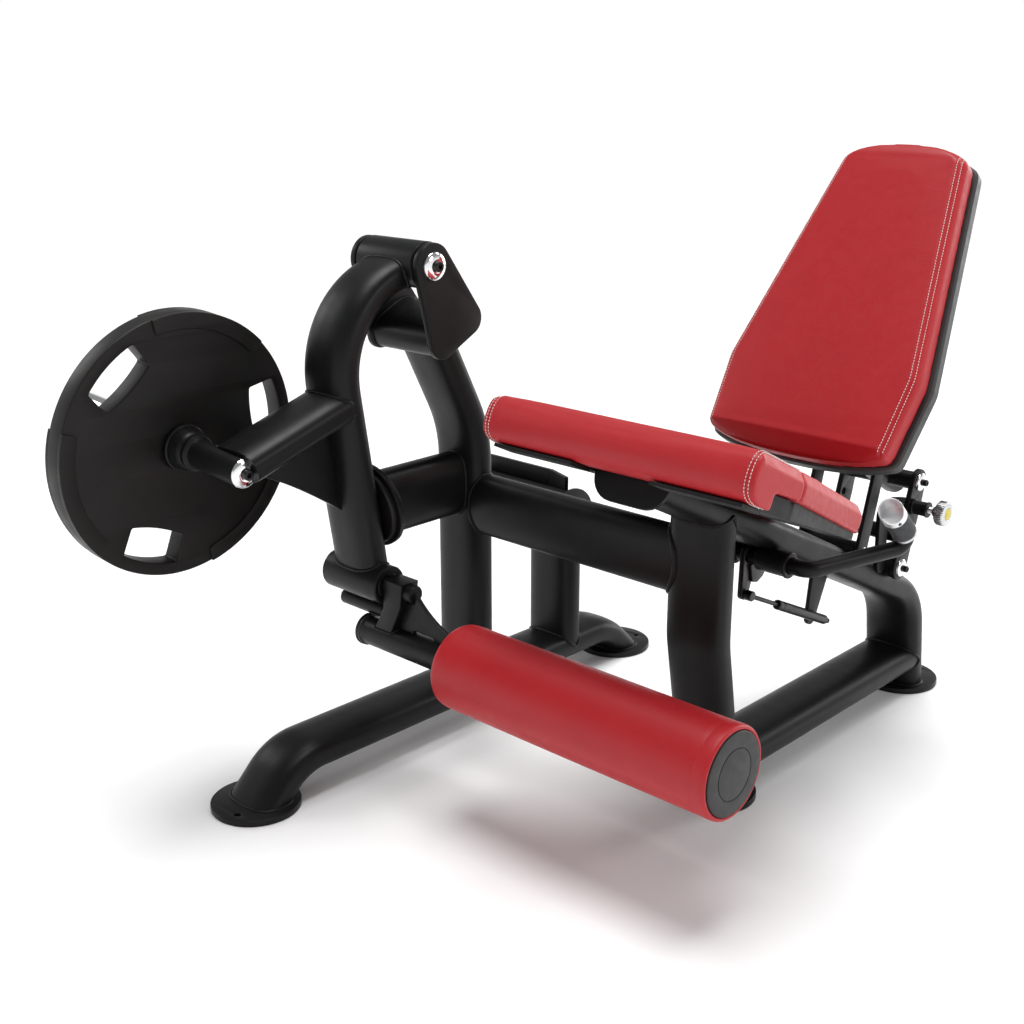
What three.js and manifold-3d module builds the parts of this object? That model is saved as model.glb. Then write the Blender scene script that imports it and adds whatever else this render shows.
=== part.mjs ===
// A plate-loaded leg extension machine. Millimetres, +Z up, the user sits facing -Y with +X on their left.
// Sizes below are in the machine's own frame: X = 0 on the seat's centre plane, Y = 0 over the centre of
// the left base tube's front foot, and Z = 0 on the floor. The group is centred on its base at the end.
import * as THREE from "three";
import { mergeVertices } from "three/addons/utils/BufferGeometryUtils.js";
import Module from "manifold-3d";

const wasm = await Module();
wasm.setup();

// Driving dimensions
const GAP = 0.3; // between pieces that touch
const OVAL = { wide: 116, thick: 58 }; // flat-sided oval frame tube
const ARM_X = -548; // plane of the left base tube and the column
const SWING_X = -545; // plane of the swing arm
const BASE_Z = 70; // height of the base tubes' centre lines
const FOOT = { radius: 78, thick: 11, boltRadius: 5.5, boltAt: 60 };
const FOOT_Y = { leftFront: 0, leftRear: 971, rightFront: 576, rightRear: 1237 };
const COLUMN_Y = 516;
const POST_Y = 516;
const LATERAL_Z = 440; // tube from the column to the front post
const STORAGE = { y: 775, z: 350, pegRadius: 50 };
const PIVOT = { y: 360, z: 900, hub: 40, shaft: 12.4 }; // main pivot of the swing arm
const CLEVIS = { outer: -616, inner: -470, plate: 12 };
const CLEVIS_TUBE = { y: 411, z: 782, tilt: 26.6 };
const ARM = { bottomY: 255, bottomZ: 372, tilt: 9.3, wide: 111, thick: 58 };
const CROSS = { y: 253, z: 355, radius: 35, from: -614, to: -471, shaft: 16 };
const STOP = { y: 281, z: 480, tube: 120, rubber: 70 };
const HORN = { y: -9.5, z: 609, tilt: 4.4, radius: 24 };
const PLATE = { radius: 225, thick: 45, bore: 26, from: -177 };
const ROLLER = { y: 252, z: 258, radius: 73, from: -300, to: 262 };
const ROLLER_TUBE = { radius: 26, from: -528, to: 250 };
const STOP_ROD = { y: 262, z: 301, radius: 14.5, from: -602 }; // rod at the back of the carriage's link
const RAIL = { y: 850, z: 377, slope: 25.8, front: -571.7 }; // a point on the seat rail, and its fall
const SEAT = { y: 296, z: 728, slope: 25, halfWidth: 253 }; // front edge of the seat's top plane
const BACK = { y: 835.6, z: 729, rise: 55.3 }; // a point on the backrest's front plane, and its angle
const CARRIER_FALL = 30; // degrees that the tube behind the backrest falls to the rear
const LINK = { lowY: 1053, lowZ: 314, highY: 1101, highZ: 473, x: 74, tube: 22 }; // rear links of the backrest
const FRONT_ARM = { lowY: 927, lowZ: 373, x: 62, tube: 18 };
const HANDLE = { y: 655, z: 424, tube: 14, housing: { radius: 21, near: 22, far: 84 } };
const DAMPER = { leverY: 642, leverZ: 356, endY: 868, endZ: 250, x: 15, mouth: 95 };
const INDEX = { holes: 5, step: 8 }; // stops of the backrest, and the degrees between them
const KNOB = { y: 1078, z: 430, x: 84 };

const rad = THREE.MathUtils.degToRad;

// Finishes
const finish = (color, roughness, metalness) => () =>
  new THREE.MeshStandardMaterial({ color, roughness, metalness });
const blackPaint = finish(0x232425, 0.45, 0.3);
const blackRubber = finish(0x1b1b1b, 0.8, 0);
const blackPlastic = finish(0x2c2d2e, 0.6, 0);
const redVinyl = finish(0xb23036, 0.5, 0);
const chrome = finish(0xd5d7d9, 0.15, 1);
const blackSteel = finish(0x161616, 0.4, 0.8);
const gripRubber = finish(0x3a3c3e, 0.9, 0);

const machine = new THREE.Group();

// ---- solids ----------------------------------------------------------------------------------------

function toSolid(geometry) {
  const bare = geometry.index ? geometry.toNonIndexed() : geometry.clone();
  bare.deleteAttribute("normal");
  bare.deleteAttribute("uv");
  const merged = mergeVertices(bare, 1e-3);
  return new wasm.Manifold(
    new wasm.Mesh({
      numProp: 3,
      vertProperties: merged.attributes.position.array,
      triVerts: new Uint32Array(merged.index.array),
    }),
  );
}

function toGeometry(solid) {
  const mesh = solid.getMesh();
  const geometry = new THREE.BufferGeometry();
  geometry.setAttribute("position", new THREE.BufferAttribute(mesh.vertProperties, 3));
  geometry.setIndex(new THREE.BufferAttribute(mesh.triVerts, 1));
  geometry.computeVertexNormals();
  return geometry;
}

const cut = (body, ...tools) =>
  toGeometry(tools.reduce((left, tool) => left.subtract(toSolid(tool)), toSolid(body)));
const common = (first, second) => toGeometry(toSolid(first).intersect(toSolid(second)));
const join = (first, ...others) =>
  toGeometry(others.reduce((sum, other) => sum.add(toSolid(other)), toSolid(first)));

function place(name, geometry, material, group = machine) {
  const mesh = new THREE.Mesh(geometry, material());
  mesh.name = name;
  group.add(mesh);
}

// ---- shapes and sweeps -----------------------------------------------------------------------------

// Local x, y, z of a side view become the machine's Y, Z, X.
const SIDE_VIEW = new THREE.Matrix4().makeBasis(
  new THREE.Vector3(0, 1, 0),
  new THREE.Vector3(0, 0, 1),
  new THREE.Vector3(1, 0, 0),
);

function circle(radius, x = 0, y = 0) {
  const shape = new THREE.Shape();
  shape.absarc(x, y, radius, 0, 2 * Math.PI);
  return shape;
}

function polygon(points) {
  const shape = new THREE.Shape();
  points.forEach(([x, y], i) => (i ? shape.lineTo(x, y) : shape.moveTo(x, y)));
  shape.closePath();
  return shape;
}

// An oval with straight sides; its long axis lies along x, or along y where it is taller than wide.
function oval(width, height) {
  const radius = Math.min(width, height) / 2;
  const half = Math.max(width, height) / 2 - radius;
  const upright = height > width ? Math.PI / 2 : 0;
  const [x, y] = upright ? [0, half] : [half, 0];
  const shape = new THREE.Shape();
  shape.absarc(x, y, radius, upright - Math.PI / 2, upright + Math.PI / 2);
  shape.absarc(-x, -y, radius, upright + Math.PI / 2, upright + 1.5 * Math.PI);
  shape.closePath();
  return shape;
}

// The outline around a row of circles, each [x, y, radius], taken anticlockwise.
function hull(...circles) {
  const shape = new THREE.Shape();
  circles.forEach(([x, y, r], i) => {
    const [px, py, pr] = circles.at(i - 1);
    const [nx, ny, nr] = circles[(i + 1) % circles.length];
    const turn = (ax, ay, ar, bx, by, br) =>
      Math.atan2(by - ay, bx - ax) - Math.acos((ar - br) / Math.hypot(bx - ax, by - ay));
    const start = turn(px, py, pr, x, y, r);
    const end = turn(x, y, r, nx, ny, nr);
    shape.absarc(x, y, r, start, end < start ? end + 2 * Math.PI : end);
  });
  shape.closePath();
  return shape;
}

// An outline given in a side view, between two X planes.
function slab(shape, from, to, curveSegments = 8) {
  const geometry = new THREE.ExtrudeGeometry(shape, {
    depth: to - from,
    bevelEnabled: false,
    curveSegments,
  });
  return geometry.translate(0, 0, from).applyMatrix4(SIDE_VIEW);
}

const crossBar = (radius, y, z, from, to, sides = 10) => slab(circle(radius, y, z), from, to, sides);

// A centre line of straight runs joined by round bends, with stations only where it turns.
// Each corner is [x, y, z, bend radius].
class BentLine extends THREE.Curve {
  constructor(corners, stepDegrees = 9) {
    super();
    this.points = [];
    this.tangents = [];
    const at = (i) => new THREE.Vector3(...corners[i].slice(0, 3));
    const last = corners.length - 1;
    this.addStation(at(0), at(1).sub(at(0)));
    for (let i = 1; i < last; i++) this.addBend(at(i - 1), at(i), at(i + 1), corners[i][3], stepDegrees);
    this.addStation(at(last), at(last).sub(at(last - 1)));
  }

  addStation(point, tangent) {
    this.points.push(point);
    this.tangents.push(tangent.normalize());
  }

  addBend(before, corner, after, radius, stepDegrees) {
    const back = before.clone().sub(corner).normalize();
    const ahead = after.clone().sub(corner).normalize();
    const half = back.angleTo(ahead) / 2;
    const centre = back.clone().add(ahead).normalize().multiplyScalar(radius / Math.sin(half)).add(corner);
    const start = back.clone().multiplyScalar(radius / Math.tan(half)).add(corner);
    const out = start.sub(centre).divideScalar(radius);
    const sweep = Math.PI - 2 * half;
    const steps = Math.max(2, Math.round(sweep / rad(stepDegrees)));
    for (let i = 0; i <= steps; i++) {
      const angle = (sweep * i) / steps;
      const [c, s] = [Math.cos(angle), Math.sin(angle)];
      const point = centre.clone().addScaledVector(out, radius * c).addScaledVector(back, -radius * s);
      const tangent = out.clone().multiplyScalar(-s).addScaledVector(back, -c);
      this.addStation(point, tangent);
    }
  }

  get steps() {
    return this.points.length - 1;
  }

  getPointAt(u) {
    return this.points[Math.round(u * this.steps)].clone();
  }

  getTangentAt(u) {
    return this.tangents[Math.round(u * this.steps)].clone();
  }
}

function sweep(section, line, curveSegments) {
  return new THREE.ExtrudeGeometry(section, { steps: line.steps, extrudePath: line, curveSegments });
}

// A tube bent in a side view: corners are [Y, Z, bend radius].
function sideTube(x, corners, { wide = OVAL.wide, thick = OVAL.thick, grow = 0, sides = 5, step = 9 } = {}) {
  const line = new BentLine(corners.map(([y, z, r]) => [y, z, 0, r]), step);
  return sweep(oval(wide + 2 * grow, thick + 2 * grow), line, sides)
    .applyMatrix4(SIDE_VIEW)
    .translate(x, 0, 0);
}

// An oval cross tube, upright or tilted in the side view.
function ovalCross(y, z, turn, from, to, grow = 0) {
  return slab(oval(OVAL.wide + 2 * grow, OVAL.thick + 2 * grow), 0, to - from, 5)
    .rotateX(rad(turn))
    .translate(from, y, z);
}

const box = (x, y, z, width, depth, height) =>
  new THREE.BoxGeometry(width, depth, height).translate(x, y, z);
const below = (z) => box(0, 600, z - 500, 3000, 3000, 1000);

// A turned piece on the X axis through (y, z); the profile is [radius, x] from the axis and back to it.
function turned(profile, y = 0, z = 0, segments = 24) {
  const points = profile.map(([r, x]) => new THREE.Vector2(r, x));
  const geometry = new THREE.LatheGeometry(points, segments);
  return geometry.rotateZ(-Math.PI / 2).translate(0, y, z);
}

// A point at a distance along, and off, a line that starts at [y, z] and rises at an angle.
const along = ([y, z], degrees, distance, off = 0) => [
  y + distance * Math.cos(rad(degrees)) - off * Math.sin(rad(degrees)),
  z + distance * Math.sin(rad(degrees)) + off * Math.cos(rad(degrees)),
];

// ---- base and uprights -----------------------------------------------------------------------------

function foot(name, x, y, side) {
  const disc = circle(FOOT.radius);
  disc.holes.push(circle(FOOT.boltRadius, side[0] * FOOT.boltAt, side[1] * FOOT.boltAt));
  const settings = { depth: FOOT.thick, bevelEnabled: false, curveSegments: 16 };
  const geometry = new THREE.ExtrudeGeometry(disc, settings);
  place(name, geometry.translate(x, y, 0), blackPaint);
}

const footTop = below(FOOT.thick + GAP);

const leftBaseTube = (grow = 0) =>
  sideTube(
    ARM_X,
    [
      [-18, -18],
      [70, BASE_Z, 110],
      [901, BASE_Z, 110],
      [989, -18],
    ],
    { grow, step: 11 },
  );

const columnTube = (grow = 0) =>
  sideTube(
    ARM_X,
    [
      [COLUMN_Y, BASE_Z],
      [COLUMN_Y, 577, 250],
      along([CLEVIS_TUBE.y, CLEVIS_TUBE.z], CLEVIS_TUBE.tilt + 90, 0),
    ],
    { grow },
  );

const frontPostTube = (grow = 0) =>
  sideTube(
    0,
    [
      [POST_Y, 540],
      [POST_Y, 310, 160],
      [576, -20],
    ],
    { grow, step: 5 },
  );

const onRail = (distance, off = 0) => along([RAIL.y, RAIL.z], -RAIL.slope, distance, off);

const railTube = (grow = 0) =>
  sideTube(0, [onRail(RAIL.front), [1188, 214, 125], [1224, -20]], { grow, step: 9 });

const clevisTube = (grow = 0) =>
  ovalCross(CLEVIS_TUBE.y, CLEVIS_TUBE.z, CLEVIS_TUBE.tilt, CLEVIS.outer + GAP, CLEVIS.inner - GAP, grow);

const lateralTube = (grow = 0) => ovalCross(COLUMN_Y, LATERAL_Z, 90, ARM_X, 0, grow);

function baseAndUprights() {
  foot("left_front_foot", ARM_X, FOOT_Y.leftFront, [0.35, -0.9]);
  foot("left_rear_foot", ARM_X, FOOT_Y.leftRear, [0.35, 0.9]);
  foot("right_front_foot", 0, FOOT_Y.rightFront, [0.35, -0.9]);
  foot("right_rear_foot", 0, FOOT_Y.rightRear, [0.35, 0.9]);
  place("left_base_tube", cut(leftBaseTube(), footTop), blackPaint);
  place("column", cut(columnTube(), leftBaseTube(GAP), clevisTube(GAP)), blackPaint);
  place("front_post", cut(frontPostTube(), railTube(GAP), footTop), blackPaint);
  place("seat_rail", cut(railTube(), footTop, handleNotch), blackPaint);
  place("right_base_tube", cut(rightBaseTube(), frontPostTube(GAP), railTube(GAP)), blackPaint);
  place("lateral_tube", cut(lateralTube(), columnTube(GAP), frontPostTube(GAP)), blackPaint);
}

const handleNotch = crossBar(HANDLE.housing.radius + GAP, HANDLE.y, HANDLE.z, -110, 110);
const rightBaseTube = () => sideTube(0, [[562, BASE_Z], [1210, BASE_Z]]);

// A post near the back of the left base tube carries a spare-plate peg with a flanged inner end.
function storage() {
  const post = sideTube(ARM_X, [[STORAGE.y, BASE_Z], [STORAGE.y, STORAGE.z]]);
  const { pegRadius } = STORAGE;
  const peg = [[0, -790], [pegRadius - 4, -790], [pegRadius, -786], [pegRadius, -508], [60, -508], [60, -500],
    [0, -500]];
  const welded = join(post, turned(peg, STORAGE.y, STORAGE.z));
  place("storage_post", cut(welded, leftBaseTube(GAP)), blackPaint);
  const y = STORAGE.y + 37;
  const plan = polygon([[-775, y], [-600, y], [-538, y - 22], [-534, y - 15], [-597, y + 8], [-775, y + 8]]);
  const bracket = new THREE.ExtrudeGeometry(plan, { depth: 74, bevelEnabled: false });
  bracket.translate(0, 0, STORAGE.z);
  const pegRoom = crossBar(pegRadius + GAP, STORAGE.y, STORAGE.z, -900, -400, 16);
  place("storage_bracket", cut(bracket, pegRoom), blackPaint);
}

// ---- main pivot ------------------------------------------------------------------------------------

function clevis() {
  place("clevis_tube", clevisTube(), blackPaint);
  const outline = hull([380, 764, 26], [444, 801, 29], [PIVOT.y, PIVOT.z, 39]);
  outline.holes.push(circle(PIVOT.shaft + 0.6, PIVOT.y, PIVOT.z));
  const plates = [
    ["clevis_plate_outer", CLEVIS.outer - CLEVIS.plate, CLEVIS.outer],
    ["clevis_plate_inner", CLEVIS.inner, CLEVIS.inner + CLEVIS.plate],
  ];
  plates.forEach(([name, from, to]) => place(name, slab(outline, from, to, 7), blackPaint));
  const [low, high] = [CLEVIS.outer - CLEVIS.plate - 3, CLEVIS.inner + CLEVIS.plate];
  place("pivot_shaft", crossBar(PIVOT.shaft, PIVOT.y, PIVOT.z, low, high - 0.5), chrome);
  place("pivot_bolt", turned(washerAndBolt(high + GAP), PIVOT.y, PIVOT.z), chrome);
}

// A socket-head bolt on a domed washer whose flat side is at x.
const washerAndBolt = (x) => [
  [0, x], [25, x], [25, x + 2], [18, x + 5], [8, x + 5.5], [8, x + 14], [4, x + 14], [4, x + 8], [0, x + 8],
];

function stop() {
  const { y, z } = STOP;
  const face = (from, to, radius) =>
    new THREE.CylinderGeometry(radius, radius, to - from, 28)
      .translate(0, (from + to) / 2, 0)
      .rotateX(rad(ARM.tilt))
      .translate(ARM_X, y, z);
  const tube = sideTube(ARM_X, [[y - 10, z - 2], [COLUMN_Y, z - 2]], { wide: 60, thick: STOP.tube });
  const trimmed = cut(tube, face(-80, 5, STOP.tube), columnTube(GAP), lateralTube(GAP));
  place("stop_tube", join(trimmed, face(0, 10, FOOT.radius)), blackPaint);
  place("stop_bumper", face(-11, -GAP, STOP.rubber), blackRubber);
}

// ---- swing arm -------------------------------------------------------------------------------------

// The arm's own line leans back by its tilt as it goes down, so that it faces the stop squarely.
const armLine = (z) => ARM.bottomY - (z - ARM.bottomZ) * Math.tan(rad(ARM.tilt));

const armTube = (grow = 0) =>
  sideTube(
    SWING_X,
    [[armLine(CROSS.z), CROSS.z], [armLine(851) + 4, 851, 165], [PIVOT.y, PIVOT.z - 9]],
    { wide: ARM.wide, thick: ARM.thick, grow, step: 8 },
  );

const hubTube = (grow = 0) =>
  crossBar(PIVOT.hub + grow, PIVOT.y, PIVOT.z, CLEVIS.outer + 3, CLEVIS.inner - 3, 14);
const crossTube = (grow = 0) => crossBar(CROSS.radius + grow, CROSS.y, CROSS.z, CROSS.from, CROSS.to, 12);
const hornArmTube = (grow = 0) =>
  sideTube(SWING_X, [[HORN.y + 8, HORN.z + 3], [armLine(678), 678]], { grow });

function swingArm() {
  const shaftHole = crossBar(PIVOT.shaft + 0.8, PIVOT.y, PIVOT.z, -800, -300);
  place("arm_hub", cut(hubTube(), shaftHole), blackPaint);
  place("arm_tube", cut(armTube(), hubTube(GAP), crossTube(GAP)), blackPaint);
  const carriageBore = crossBar(CROSS.shaft + 8, CROSS.y, CROSS.z, CROSS.from + 12, CROSS.to + 10);
  place("arm_cross_tube", cut(crossTube(), carriageBore), blackPaint);
  const boltRoom = turned([[0, 29], [28, 29], [28, 90], [0, 90]], HORN.y, HORN.z).translate(SWING_X, 0, 0);
  place("horn_arm", cut(hornArmTube(), armTube(GAP), hornTube(GAP), boltRoom), blackPaint);
  const web = new THREE.Shape();
  web.moveTo(20, 616);
  web.lineTo(28, 590);
  web.quadraticCurveTo(110, 560, armLine(474) - 10, 474);
  web.lineTo(armLine(490) + 20, 480);
  web.lineTo(armLine(678) + 20, 678);
  place("horn_gusset", cut(slab(web, SWING_X - 6, SWING_X + 6), armTube(GAP), hornArmTube(GAP)), blackPaint);
}

// The horn's group has its X axis along the horn, whose outer end is tipped up.
const hornGroup = new THREE.Group();
hornGroup.position.set(SWING_X, HORN.y, HORN.z);
hornGroup.rotation.y = rad(HORN.tilt);

const hornTube = (grow = 0) =>
  turned([[0, -88], [HORN.radius + grow, -88], [HORN.radius + grow, 32], [0, 32]])
    .rotateY(rad(HORN.tilt))
    .translate(SWING_X, HORN.y, HORN.z);

function horn() {
  machine.add(hornGroup);
  const radius = HORN.radius;
  const piece = (name, profile, material, segments) =>
    place(name, turned(profile, 0, 0, segments), material, hornGroup);
  piece("horn_tube", [[0, -131], [39, -131], [40, -129], [40, -123], [31, -102], [28, -100], [28, -89],
    [radius, -88], [radius, 32], [0, 32]], blackPaint, 28);
  piece("horn_bolt", washerAndBolt(32 + GAP), chrome);
  piece("horn_sleeve", [[0, -425], [22, -425], [25, -422], [25, -131.3], [0, -131.3]], chrome);
}

function weightPlate() {
  const disc = circle(PLATE.radius);
  disc.holes.push(circle(PLATE.bore));
  for (const turn of [110, 230, 350]) disc.holes.push(gripHole(turn));
  const body = new THREE.ExtrudeGeometry(disc, {
    depth: PLATE.thick - 8,
    bevelEnabled: false,
    curveSegments: 24,
  });
  const parts = [body.translate(0, 0, 4)];
  for (const turn of [46.5, 166.5, 286.5]) parts.push(rimPad(turn, 0, 4.2), rimPad(turn, 40.8, 4.2));
  const geometry = join(...parts).rotateY(-Math.PI / 2).rotateX(-Math.PI / 2);
  place("weight_plate", geometry.translate(PLATE.from + PLATE.thick, 0, 0), blackRubber, hornGroup);
}

// A grip hole: its outer side follows the rim, its inner side bows towards the bore.
function gripHole(turn) {
  const corner = (r, degrees) => [r * Math.cos(rad(turn + degrees)), r * Math.sin(rad(turn + degrees))];
  const slot = new THREE.Path();
  slot.moveTo(...corner(163, -17));
  slot.quadraticCurveTo(...corner(136, 0), ...corner(163, 17));
  slot.quadraticCurveTo(...corner(176, 21), ...corner(189, 18));
  slot.quadraticCurveTo(...corner(201, 14), ...corner(202, 9));
  slot.lineTo(...corner(203, 0));
  slot.lineTo(...corner(202, -9));
  slot.quadraticCurveTo(...corner(201, -14), ...corner(189, -18));
  slot.quadraticCurveTo(...corner(176, -21), ...corner(163, -17));
  slot.closePath();
  return slot;
}

// A raised pad along a sixth of the plate's rim.
function rimPad(turn, from, thick) {
  const [outer, inner, half] = [PLATE.radius, PLATE.radius - 27, rad(29.5)];
  const shape = new THREE.Shape();
  shape.absarc(0, 0, outer, rad(turn) - half, rad(turn) + half);
  shape.absarc(0, 0, inner, rad(turn) + half, rad(turn) - half, true);
  shape.closePath();
  return new THREE.ExtrudeGeometry(shape, { depth: thick, bevelEnabled: false, curveSegments: 8 })
    .translate(0, 0, from);
}

// ---- roller carriage -------------------------------------------------------------------------------

const carriageShaft = (grow = 0) => crossBar(CROSS.shaft + grow, CROSS.y, CROSS.z, CROSS.from + 20, -404);
const rollerTube = (grow = 0) =>
  crossBar(ROLLER_TUBE.radius + grow, ROLLER.y, ROLLER.z, ROLLER_TUBE.from, ROLLER_TUBE.to);

function carriage() {
  place("carriage_shaft", carriageShaft(), blackPaint);
  place("roller_tube", rollerTube(), blackPaint);
  const { radius, from } = ROLLER_TUBE;
  const cap = [[0, -7], [radius + 3, -7], [radius + 3, -3], [radius, -2], [radius, -GAP], [0, -GAP]];
  place("roller_tube_cap", turned(cap.map(([r, x]) => [r, x + from]), ROLLER.y, ROLLER.z), blackPlastic);
  const stopRod = crossBar(STOP_ROD.radius, STOP_ROD.y, STOP_ROD.z, STOP_ROD.from, -480);
  const link = cut(join(linkBlock(), stopRod), carriageShaft(GAP), rollerTube(GAP));
  place("carriage_link", link, blackPaint);
  place("carriage_gusset", gusset(), blackPaint);
}

// A flat outline given as [x, z], between two Y planes.
const frontSlab = (outline, from, to) =>
  new THREE.ExtrudeGeometry(outline, { depth: to - from, bevelEnabled: false, curveSegments: 6 })
    .rotateX(Math.PI / 2)
    .translate(0, to, 0);

// The block between the shaft and the roller's tube; it leans outwards below the arm's cross tube.
function linkBlock() {
  const outline = polygon([[-466, 374], [-418, 374], [-424, 330], [-456, 262], [-501, 262], [-468, 318]]);
  return frontSlab(outline, 233, 273);
}

// The plate in the corner of the block and the roller's tube, with a window over the tube.
function gusset() {
  const outline = new THREE.Shape();
  outline.moveTo(-404 + GAP, 358);
  outline.quadraticCurveTo(-374, 322, -308, 298);
  [[-308, 262], [-460, 262], [-420, 338], [-404 + GAP, 338]].forEach(([x, z]) => outline.lineTo(x, z));
  outline.closePath();
  const plate = frontSlab(outline, CROSS.y - 4, CROSS.y + 4);
  const window = box(-383, CROSS.y, 274, 50, 30, 30);
  return cut(plate, linkBlock().translate(GAP, 0, 0), carriageShaft(GAP), rollerTube(GAP), window);
}

function roller() {
  const tubeHole = ROLLER_TUBE.radius + 1;
  const { radius, from, to } = ROLLER;
  const pad = [[tubeHole, from + 2], [radius - 8, from], [radius, from + 9], [radius, to - 21],
    [radius - 6, to - 13], [tubeHole, to - 13], [tubeHole, from + 2]];
  place("roller_pad", turned(pad, ROLLER.y, ROLLER.z, 32), redVinyl);
  const cap = [[0, to - 11], [radius - 8, to - 12.7], [radius - 8, to - 4], [radius - 12, to], [0, to]];
  place("roller_end_cap", turned(cap, ROLLER.y, ROLLER.z, 32), blackPlastic);
}

// ---- seat ------------------------------------------------------------------------------------------

const onSeat = (distance, off) => along([SEAT.y, SEAT.z], -SEAT.slope, distance, off);

// A plan outline on the seat's plane, between two heights off that plane.
function seatSlab(halfPlan, from, to) {
  const plan = [...halfPlan, ...halfPlan.map(([x, y]) => [-x, y]).reverse()];
  return new THREE.ExtrudeGeometry(polygon(plan), { depth: to - from, bevelEnabled: false })
    .translate(0, 0, from)
    .rotateX(-rad(SEAT.slope))
    .translate(0, SEAT.y, SEAT.z);
}

const railEndPlate = (grow = 0) =>
  sideTube(
    0,
    [onRail(RAIL.front - 8.3 - grow), onRail(RAIL.front - GAP + grow)],
    { wide: 144, thick: 84, grow, sides: 7 },
  );

function seat() {
  const { halfWidth } = SEAT;
  const roll = polygon([onSeat(14, -76), onSeat(0, -68), onSeat(-9, -52), onSeat(-9, -24), onSeat(-3, -8),
    onSeat(8, 0), onSeat(125, 0), onSeat(125, -48), onSeat(56, -50), onSeat(52, -77)]);
  const rearPlan = [[halfWidth - 1, 120], [halfWidth - 5, 136], [200, 424], [176, 440]];
  const pad = join(slab(roll, -halfWidth, halfWidth), seatSlab(rearPlan, -48, -3));
  place("seat_pad", cut(pad, railTube(6), railEndPlate(6)), redVinyl);
  const wall = slab(polygon([onSeat(57, -50.6), onSeat(125, -48.3), onSeat(440, -48.3), onSeat(440, -58),
    onSeat(53, -80)]), -halfWidth, halfWidth);
  const tray = common(wall, seatSlab([[235, 52], [240, 136], [192, 424], [170, 436]], -90, -40));
  const lipOutline = polygon([onSeat(12, -77.3), onSeat(60, -77.3), onSeat(60, -83), onSeat(12, -83)]);
  const lip = slab(lipOutline, -235, 235);
  const trays = join(tray, lip);
  for (const [name, side] of [["seat_tray_left", 1], ["seat_tray_right", -1]])
    place(name, common(trays, box(side * 274, 500, 600, 400, 900, 900)), blackPlastic);
  place("rail_end_plate", railEndPlate(), blackPaint);
}

// ---- backrest and its parallel links ---------------------------------------------------------------

// A plan outline on the backrest's front plane, given as [x, height up the plane], between two depths.
function backSlab(plan, from, to) {
  const geometry = new THREE.ExtrudeGeometry(plan, { depth: to - from, bevelEnabled: false, curveSegments: 6 });
  return geometry.translate(0, 0, -to).rotateX(rad(BACK.rise)).translate(0, BACK.y, BACK.z);
}

function backPlan(top, kink, low, rise = 0) {
  const shape = new THREE.Shape();
  shape.moveTo(-low, -140 - rise);
  shape.quadraticCurveTo(0, -176 - rise, low, -140 - rise);
  shape.lineTo(kink, 0);
  shape.lineTo(top, 413 + rise);
  shape.quadraticCurveTo(0, 461 + rise, -top, 413 + rise);
  shape.lineTo(-kink, 0);
  shape.closePath();
  return shape;
}

const onBack = (distance, behind) => along([BACK.y, BACK.z], BACK.rise, distance, -behind);

function backrest() {
  const crown = backSlab(backPlan(108, 176, 170), 0, 14);
  const cushion = backSlab(backPlan(121, 188, 180, 6), 12, 50);
  place("backrest_pad", join(crown, cushion), redVinyl);
  place("backrest_shell", backSlab(backPlan(127, 192, 184, 8), 50.3, 74), blackPlastic);
  const carrier = sideTube(0, [along([LINK.highY, LINK.highZ], 180 - CARRIER_FALL, 190),
    along([LINK.highY, LINK.highZ], 180 - CARRIER_FALL, -52)], { wide: 50, thick: 40 });
  const upper = crossBar(17, LINK.highY, LINK.highZ, -LINK.x + 7, LINK.x - 7);
  const [riseY, riseZ] = [LINK.highY - LINK.lowY, LINK.highZ - LINK.lowZ];
  const armEnd = FRONT_ARM.x - 7;
  const frontUpper = crossBar(14, FRONT_ARM.lowY + riseY, FRONT_ARM.lowZ + riseZ, -armEnd, armEnd);
  place("back_carrier", join(carrier, upper, frontUpper), blackPaint);
  const foot = along([LINK.highY, LINK.highZ], 180 - CARRIER_FALL, 60, -20.5);
  const toe = along([LINK.highY, LINK.highZ], 180 - CARRIER_FALL, 194, -20.5);
  const rib = polygon([foot, onBack(230, 74.3), onBack(-120, 74.3), toe]);
  place("back_bracket", slab(rib, -22, 22), blackPaint);
}

function rearLinks() {
  const { lowY, lowZ, highY, highZ, x } = LINK;
  place("rear_pivot_tube", cut(crossBar(LINK.tube, lowY, lowZ, -x + 7, x - 7), railTube(GAP)), blackPaint);
  const outline = hull([lowY, lowZ, 24], [KNOB.y + 14, KNOB.z, 22], [highY, highZ, 24]);
  const pinHole = crossBar(7, KNOB.y, KNOB.z, x - 20, x + 20);
  const tie = crossBar(15, (lowY + highY) / 2 + 14, (lowZ + highZ) / 2 - 30, -x, x);
  const frame = join(slab(outline, x - 6, x + 4), slab(outline, -x - 4, -x + 6), tie);
  place("rear_link", cut(frame, pinHole), blackPaint);
}

function frontArms() {
  const { lowY, lowZ, x } = FRONT_ARM;
  const pivotTube = crossBar(FRONT_ARM.tube, lowY, lowZ, -x + 7, x - 7);
  place("front_arm_pivot_tube", cut(pivotTube, railTube(GAP)), blackPaint);
  const [riseY, riseZ] = [LINK.highY - LINK.lowY, LINK.highZ - LINK.lowZ];
  const outline = hull([lowY, lowZ, 17], [lowY + riseY, lowZ + riseZ, 17]);
  place("front_arm_left", slab(outline, x - 6, x + 2), blackPaint);
  place("front_arm_right", slab(outline, -x - 2, -x + 6), blackPaint);
}

// ---- index plate and pop pin -----------------------------------------------------------------------

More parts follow.
